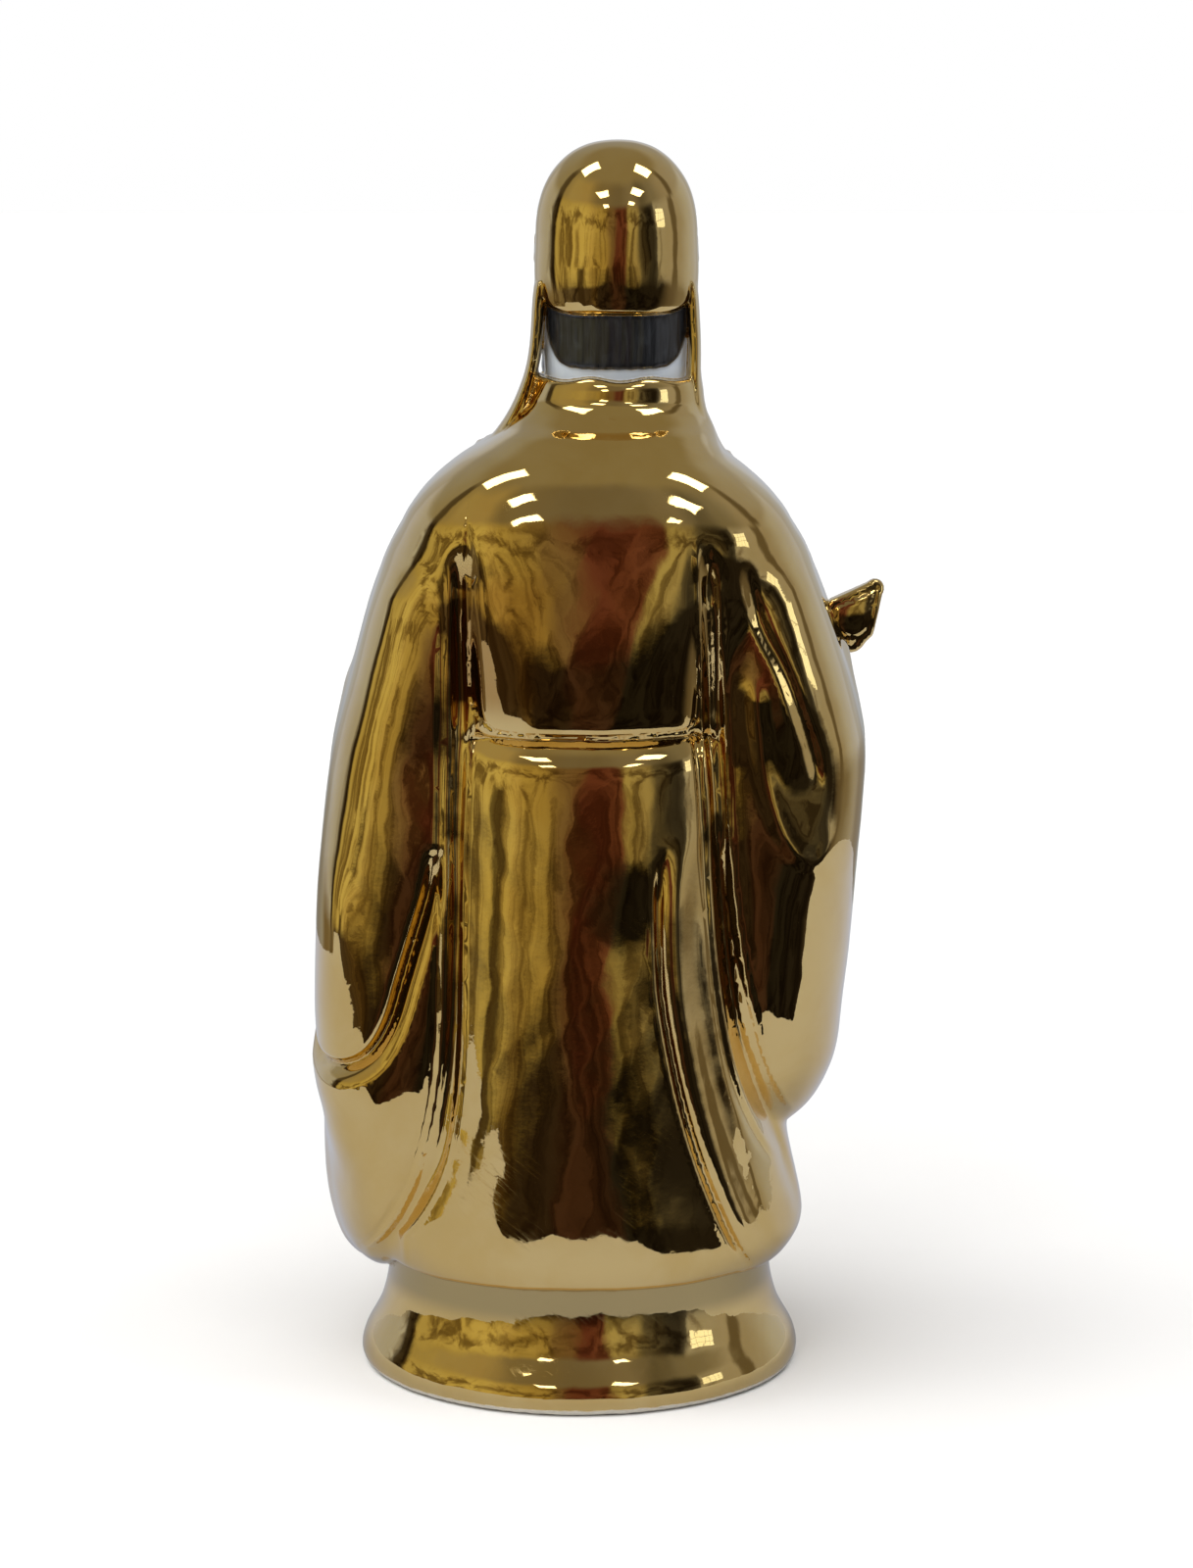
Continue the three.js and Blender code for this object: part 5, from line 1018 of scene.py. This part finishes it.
# hair and beard: slate black, brushed on in strands that let a little of the ground through
strand = G_.noise(G_.stretch(at, 1.6, 1.6, 0.09), 1.1, 3.0, 0.6)
black = G_.mix(G_.ramp(strand, 0.36, 0.74), rgb(0.0065, 0.0074, 0.0098), rgb(0.0140, 0.0158, 0.0205))
blotch = G_.ramp(G_.noise(G_.stretch(at, 1.0, 1.0, 0.7), 0.28, 3.0, 0.55, 0.5), 0.50, 0.74)
black = G_.mix(G_.math("MULTIPLY", blotch, 0.55), black, rgb(0.027, 0.031, 0.039))
worn = G_.math("MULTIPLY", G_.ramp(black_edge, -1.1, -0.15), G_.ramp(strand, 0.46, 0.66))
black = G_.mix(G_.math("MULTIPLY", worn, 0.22), black, rgb(0.10, 0.105, 0.12))

# painted features of the face
def bar(x0, z0, x1, z1, half, soft=0.12):
    """A brushed line between two points of the face, in |x| and z."""
    ux, uz = x1 - x0, z1 - z0
    L = ux * ux + uz * uz
    dx = G_.math("SUBTRACT", hx, x0); dz = G_.math("SUBTRACT", pz, z0)
    t = G_.math("DIVIDE", G_.math("ADD", G_.math("MULTIPLY", dx, ux), G_.math("MULTIPLY", dz, uz)), L, clamp=True)
    ex = G_.math("SUBTRACT", dx, G_.math("MULTIPLY", t, ux)); ez = G_.math("SUBTRACT", dz, G_.math("MULTIPLY", t, uz))
    d = G_.math("SQRT", G_.math("ADD", G_.math("MULTIPLY", ex, ex), G_.math("MULTIPLY", ez, ez)))
    width = G_.math("SUBTRACT", half, G_.math("MULTIPLY", G_.math("POWER", t, 2.0), half * 0.75))
    return G_.ramp(G_.math("SUBTRACT", d, width), soft, -soft)


def disc(x0, z0, rx, rz, soft=0.15):
    a = G_.math("DIVIDE", G_.math("SUBTRACT", hx, x0), rx); b_ = G_.math("DIVIDE", G_.math("SUBTRACT", pz, z0), rz)
    d = G_.math("SQRT", G_.math("ADD", G_.math("MULTIPLY", a, a), G_.math("MULTIPLY", b_, b_)))
    return G_.ramp(d, 1.0 + soft, 1.0 - soft)


brow = G_.math("MAXIMUM", bar(6.9, 263.7, 3.1, 262.5, 0.60), bar(6.9, 263.7, 11.0, 261.9, 0.60))
lash = G_.math("MAXIMUM", bar(6.2, 257.95, 3.3, 256.6, 0.28, 0.08), bar(6.2, 257.95, 9.5, 256.7, 0.32, 0.08))
ball = G_.math("MULTIPLY", disc(6.3, 256.4, 3.1, 1.42, 0.10), 1.0)
iris = G_.math("MULTIPLY", disc(6.2, 256.65, 1.22, 1.34, 0.10), ball)
lips = G_.math("MAXIMUM", disc(1.3, 244.75, 2.3, 0.95, 0.22), disc(0.0, 243.2, 2.6, 1.05, 0.22))
seam = bar(0.0, 244.0, 3.7, 244.4, 0.20, 0.10)
face_side = G_.ramp(py, -14.0, -15.5)
white = G_.mix(G_.math("MULTIPLY", ball, face_side), white, rgb(0.88, 0.88, 0.87))
white = G_.mix(G_.math("MULTIPLY", lips, face_side), white, rgb(0.42, 0.085, 0.065))
ink = G_.math("MAXIMUM", G_.math("MAXIMUM", brow, lash), G_.math("MAXIMUM", iris, G_.math("MULTIPLY", seam, 0.75)))
white = G_.mix(G_.math("MULTIPLY", ink, face_side), white, rgb(0.012, 0.010, 0.010))

bare = G_.mix(G_.noise(at, 0.8, 4.0, 0.7), rgb(0.42, 0.39, 0.33), rgb(0.66, 0.63, 0.56))
# the white is made darker and bluer within about a millimetre of the black paint, from 250 mm up towards the cap
near_black_darkening = G_.math("MULTIPLY", G_.ramp(black_edge, 1.1, 0.1), G_.ramp(pz, 262.0, 250.0))
white = G_.mix(G_.math("MULTIPLY", near_black_darkening, 0.45), white, rgb(0.23, 0.26, 0.31))
colour = G_.mix(is_white, gold, white)
colour = G_.mix(is_black, colour, black)
colour = G_.mix(is_rim, colour, bare)
metal = G_.math("MULTIPLY", G_.math("SUBTRACT", 1.0, painted), G_.math("SUBTRACT", 1.0, is_rim))
white_rough = G_.math("ADD", 0.10, G_.math("MULTIPLY", glaze_cloud, 0.08))
black_rough = G_.math("ADD", 0.20, G_.math("MULTIPLY", strand, 0.25))
rough = G_.mixf(is_white, gold_rough, white_rough)
rough = G_.mixf(is_black, rough, black_rough)
rough = G_.mixf(is_rim, rough, 0.75)
tree.links.new(colour, skin.inputs["Base Color"])
tree.links.new(metal, skin.inputs["Metallic"])
tree.links.new(rough, skin.inputs["Roughness"])

# pinholes and grain of the lustre, and brush marks in the hair
grain = G_.noise(at, 2.4, 3.0, 0.6)
orange = G_.noise(at, 0.55, 2.0, 0.5)
relief = G_.math("ADD", G_.math("MULTIPLY", orange, 0.008), G_.math("MULTIPLY", grain, 0.0006))
relief = G_.math("ADD", relief, G_.math("MULTIPLY", G_.math("MULTIPLY", strand, is_black), 0.018))
bumps = tree.nodes.new("ShaderNodeBump")
bumps.inputs["Strength"].default_value = 1.0
bumps.inputs["Distance"].default_value = 0.001  # the relief above is in millimetres
tree.links.new(relief, bumps.inputs["Height"])
tree.links.new(bumps.outputs[0], skin.inputs["Normal"])
skin.inputs["IOR"].default_value = 1.5
skin.inputs["Coat Weight"].default_value = 0.6
skin.inputs["Coat Roughness"].default_value = 0.03
body.data.materials.clear()
body.data.materials.append(mat)

# ---------------------------------------------------------------- floor, room and light
scene = bpy.context.scene
scene.view_settings.view_transform = "Standard"
scene.view_settings.look = "None"


def plain(name, colour, rough=0.6):
    m = bpy.data.materials.new(name)
    m.use_nodes = True
    t = Graph(m.node_tree)
    p = m.node_tree.nodes["Principled BSDF"]
    k = m.node_tree.nodes.new("ShaderNodeTexCoord")
    c = t.mix(t.noise(k.outputs["Object"], 40.0, 3.0), rgb(*[v * 0.985 for v in colour]), rgb(*colour))
    m.node_tree.links.new(c, p.inputs["Base Color"])
    p.inputs["Roughness"].default_value = rough
    p.inputs["Specular IOR Level"].default_value = 0.15
    return m


def sheet_of(name, corners, material):
    me_ = bpy.data.meshes.new(name)
    me_.from_pydata(corners, [], [list(range(len(corners)))])
    ob = bpy.data.objects.new(name, me_)
    scene.collection.objects.link(ob)
    me_.materials.append(material)
    return ob


# the pale floor; the gold does not mirror it, but a darker, bluer copy of it near the figure, a painted reflection
floor = sheet_of("floor", [(-9, -9, 0), (9, -9, 0), (9, 9, 0), (-9, 9, 0)], plain("floor_pale", (0.885, 0.89, 0.915)))
floor.location.z = -0.0004
floor.visible_glossy = False
ring = []
for a in range(120):
    turn_ = a * 3 - 180  # 0 towards the back, positive to its right
    reach = 0.50 - 0.29 * float(win(np.array(float(turn_)), -24.0, 60.0, 14.0)) + 0.26 * float(win(np.array(float(turn_)), -80.0, -56.0, 5.0))
    ring.append((-reach * math.sin(math.radians(turn_)), reach * math.cos(math.radians(turn_)), 0))
# painted reflection: a darker, bluer floor seen only in the gold's reflections, shaped round the figure
floor_near = sheet_of("floor_near", ring, plain("floor_reflection_darker", (0.395, 0.415, 0.50)))
floor_near.location.z = -0.0001
floor_near.visible_camera = False
floor_near.visible_diffuse = False
floor_near.visible_shadow = False
floor_near.visible_transmission = False

# A soft studio room as a light field. Angles are round the figure: 0 towards its back,
# positive to the right of someone who looks at the back; colours are plain radiances.
ROOM_MID = [(-180, (.50, .52, .56)), (-167, (.48, .50, .54)), (-162, (.41, .42, .43)), (-152, (.39, .40, .41)), (-147, (.46, .49, .58)), (-110, (.40, .43, .52)),
            (-105, (.045, .036, .024)), (-99, (.030, .022, .014)), (-94, (.37, .31, .125)), (-45, (.47, .40, .16)),
            (-38, (.42, .34, .135)), (-30, (.36, .285, .10)), (-19, (.30, .23, .08)), (-8, (.155, .104, .052)), (1, (.105, .034, .024)),
            (12, (.12, .045, .030)), (17, (.33, .285, .135)), (28, (.29, .25, .135)), (35, (.08, .07, .05)), (50, (.030, .027, .024)),
            (57, (.05, .047, .045)), (60, (.33, .33, .34)), (84, (.35, .34, .34)), (88, (.13, .11, .08)), (94, (.13, .11, .08)), (98, (.33, .32, .32)), (128, (.43, .46, .54)),
            (147, (.46, .49, .57)), (152, (.40, .41, .42)), (163, (.42, .43, .44)), (168, (.50, .52, .56)), (180, (.50, .52, .56))]
ROOM_LOW = [(-180, (.34, .35, .35)), (-168, (.34, .35, .35)), (-160, (.22, .20, .16)), (-145, (.28, .27, .23)), (-132, (.17, .13, .07)),
            (-98, (.19, .16, .11)), (-74, (.10, .080, .055)), (-50, (.060, .044, .028)), (-40, (.050, .034, .018)), (-32, (.10, .068, .030)), (-24, (.024, .016, .010)), (-12, (.026, .017, .011)),
            (-2, (.045, .022, .015)), (8, (.040, .022, .016)), (14, (.013, .011, .009)), (62, (.015, .012, .010)), (85, (.12, .10, .075)),
            (105, (.20, .18, .15)), (135, (.34, .34, .34)), (150, (.24, .22, .19)), (162, (.24, .22, .19)), (170, (.34, .35, .35)), (180, (.34, .35, .35))]
ROOM_HIGH = [(-180, (.30, .30, .30)), (-160, (.30, .30, .29)), (-140, (.30, .30, .29)), (-112, (.29, .28, .24)), (-107, (.09, .075, .05)), (-100, (.08, .065, .04)), (-95, (.30, .26, .15)), (-80, (.36, .31, .17)),
             (-50, (.36, .30, .16)), (-30, (.20, .17, .11)), (0, (.17, .15, .12)), (25, (.21, .19, .16)), (40, (.12, .11, .09)),
             (60, (.20, .19, .17)), (90, (.30, .28, .26)), (96, (.12, .10, .07)), (101, (.12, .10, .07)), (107, (.32, .31, .31)), (150, (.34, .34, .34)), (180, (.30, .30, .30))]
CEILING = (.25, .225, .165)
FITTINGS = [(-0.78, -0.32, -0.12, 0.20, 4.6), (-0.76, -0.36, 1.0, 1.36, 4.6), (-0.86, -0.48, 2.0, 2.35, 4.2),
            (0.38, 0.80, -0.06, 0.26, 4.6), (0.54, 0.96, 0.85, 1.20, 4.6), (0.60, 0.92, 1.75, 2.08, 4.2)]

world = bpy.data.worlds.new("room")
scene.world = world
world.use_nodes = True
wt = world.node_tree
wt.nodes.clear()
W = Graph(wt)
wout = wt.nodes.new("ShaderNodeOutputWorld")
tc = wt.nodes.new("ShaderNodeTexCoord")
wx, wy, wz = W.parts(tc.outputs["Generated"])
turn = W.math("DIVIDE", W.math("ARCTAN2", W.math("MULTIPLY", wx, -1.0), wy), 2 * math.pi)
turn = W.math("ADD", turn, 0.5)
tilt = W.math("MULTIPLY", W.math("ARCSINE", wz), 180 / math.pi)


def band(stops, sharp="EASE"):
    k = wt.nodes.new("ShaderNodeValToRGB")
    k.color_ramp.interpolation = sharp
    e = k.color_ramp.elements
    while len(e) < len(stops):
        e.new(0.5)
    for i, (a, c) in enumerate(stops):
        e[i].position = (a + 180) / 360
        e[i].color = rgb(*c)
    wt.links.new(turn, k.inputs[0])
    return k.outputs[0]


light = W.mix(W.ramp(tilt, -10.5, -4.5), band(ROOM_LOW), band(ROOM_MID))
streak_at = wt.nodes.new("ShaderNodeCombineXYZ")
wt.links.new(W.math("MULTIPLY", turn, 34.0), streak_at.inputs[0])
wt.links.new(W.math("MULTIPLY", tilt, 0.075), streak_at.inputs[1])
busy = W.noise(streak_at.outputs[0], 1.0, 4.0, 0.62, 0.7)
near_wall = W.math("MULTIPLY", W.ramp(turn, 0.16, 0.22), W.ramp(turn, 0.72, 0.64))
shade = W.mixf(W.math("MULTIPLY", near_wall, W.ramp(tilt, 26.0, 12.0)), 1.0, W.ramp(busy, 0.36, 0.60, 0.38, 1.22))
grey = wt.nodes.new("ShaderNodeCombineXYZ")
for i in range(3):
    wt.links.new(W.math("POWER", shade, (1.0, 1.14, 1.30)[i]), grey.inputs[i])
light = W.vec("MULTIPLY", light, grey.outputs[0])
light = W.mix(W.ramp(tilt, 19.0, 27.0), light, band(ROOM_HIGH))
deg = W.math("SUBTRACT", W.math("MULTIPLY", turn, 360.0), 180.0)
post = W.math("MULTIPLY", W.math("MULTIPLY", W.ramp(deg, -58.0, -55.0), W.ramp(deg, -46.0, -49.0)), W.ramp(tilt, -2.0, -5.0))
light = W.mix(W.math("MULTIPLY", post, 0.75), light, rgb(0.035, 0.022, 0.010))
light = W.mix(W.ramp(tilt, 42.0, 58.0), light, rgb(*CEILING))
up = W.math("MAXIMUM", wz, 0.02)
gu = W.math("DIVIDE", W.math("MULTIPLY", wx, -1.0), up)
gv = W.math("DIVIDE", wy, up)


def inside(v, a, b, soft):
    return W.math("MULTIPLY", W.ramp(v, a - soft, a + soft), W.ramp(v, b + soft, b - soft))


for u0, u1, v0, v1, power in FITTINGS:
    soft = 0.012 + 0.008 * max(v1, 0)
    f = W.math("MULTIPLY", inside(gu, u0, u1, soft), inside(gv, v0, v1, soft))
    f = W.math("MULTIPLY", f, W.ramp(wz, 0.10, 0.16))
    light = W.mix(f, light, rgb(power, power * 0.985, power * 0.93))
# the window, in panes
pane = W.math("MULTIPLY", inside(deg, 60.5, 73.5, 0.4), inside(tilt, 4.0, 17.0, 0.4))
bars = W.math("MULTIPLY", W.ramp(W.math("ABSOLUTE", W.math("SUBTRACT", W.math("FRACT", W.math("DIVIDE", W.math("SUBTRACT", deg, 60.5), 3.25)), 0.5)), 0.47, 0.42),
              W.ramp(W.math("ABSOLUTE", W.math("SUBTRACT", W.math("FRACT", W.math("DIVIDE", W.math("SUBTRACT", tilt, 4.0), 4.34)), 0.5)), 0.47, 0.43))
light = W.mix(W.math("MULTIPLY", pane, W.math("ADD", 0.35, W.math("MULTIPLY", bars, 0.65))), light, rgb(1.35, 1.45, 1.55))

bg = wt.nodes.new("ShaderNodeBackground")
wt.links.new(light, bg.inputs[0])
plain_bg = wt.nodes.new("ShaderNodeBackground")
plain_bg.inputs[0].default_value = rgb(1.0, 1.0, 1.0)
pick = wt.nodes.new("ShaderNodeMixShader")
lp = wt.nodes.new("ShaderNodeLightPath")
wt.links.new(lp.outputs["Is Camera Ray"], pick.inputs[0])
wt.links.new(bg.outputs[0], pick.inputs[1])
wt.links.new(plain_bg.outputs[0], pick.inputs[2])
wt.links.new(pick.outputs[0], wout.inputs[0])

key_data = bpy.data.lights.new("soft_key", "SUN")
key_data.energy = 2.55
key_data.angle = math.radians(75)
key = bpy.data.objects.new("soft_key", key_data)
scene.collection.objects.link(key)
key.rotation_euler = Vector((-0.25, -0.35, -1.0)).to_track_quat("-Z", "Y").to_euler()
key.visible_glossy = False

cam_data = bpy.data.cameras.new("camera")
cam = bpy.data.objects.new("camera", cam_data)
scene.collection.objects.link(cam)
scene.camera = cam
PITCH = math.radians(10.875)
cam.location = (SHIFT[0] / 1000, 0.860 + SHIFT[1] / 1000, 0.310)
cam.rotation_euler = Vector((0, -math.cos(PITCH), -math.sin(PITCH))).to_track_quat("-Z", "Y").to_euler()
cam_data.sensor_width = 36.0
cam_data.sensor_fit = "AUTO"
cam_data.lens = 3651 / 1600 * 36.0
cam_data.clip_start = 0.01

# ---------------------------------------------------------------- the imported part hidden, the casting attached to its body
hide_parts("figure")
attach(body, "root")
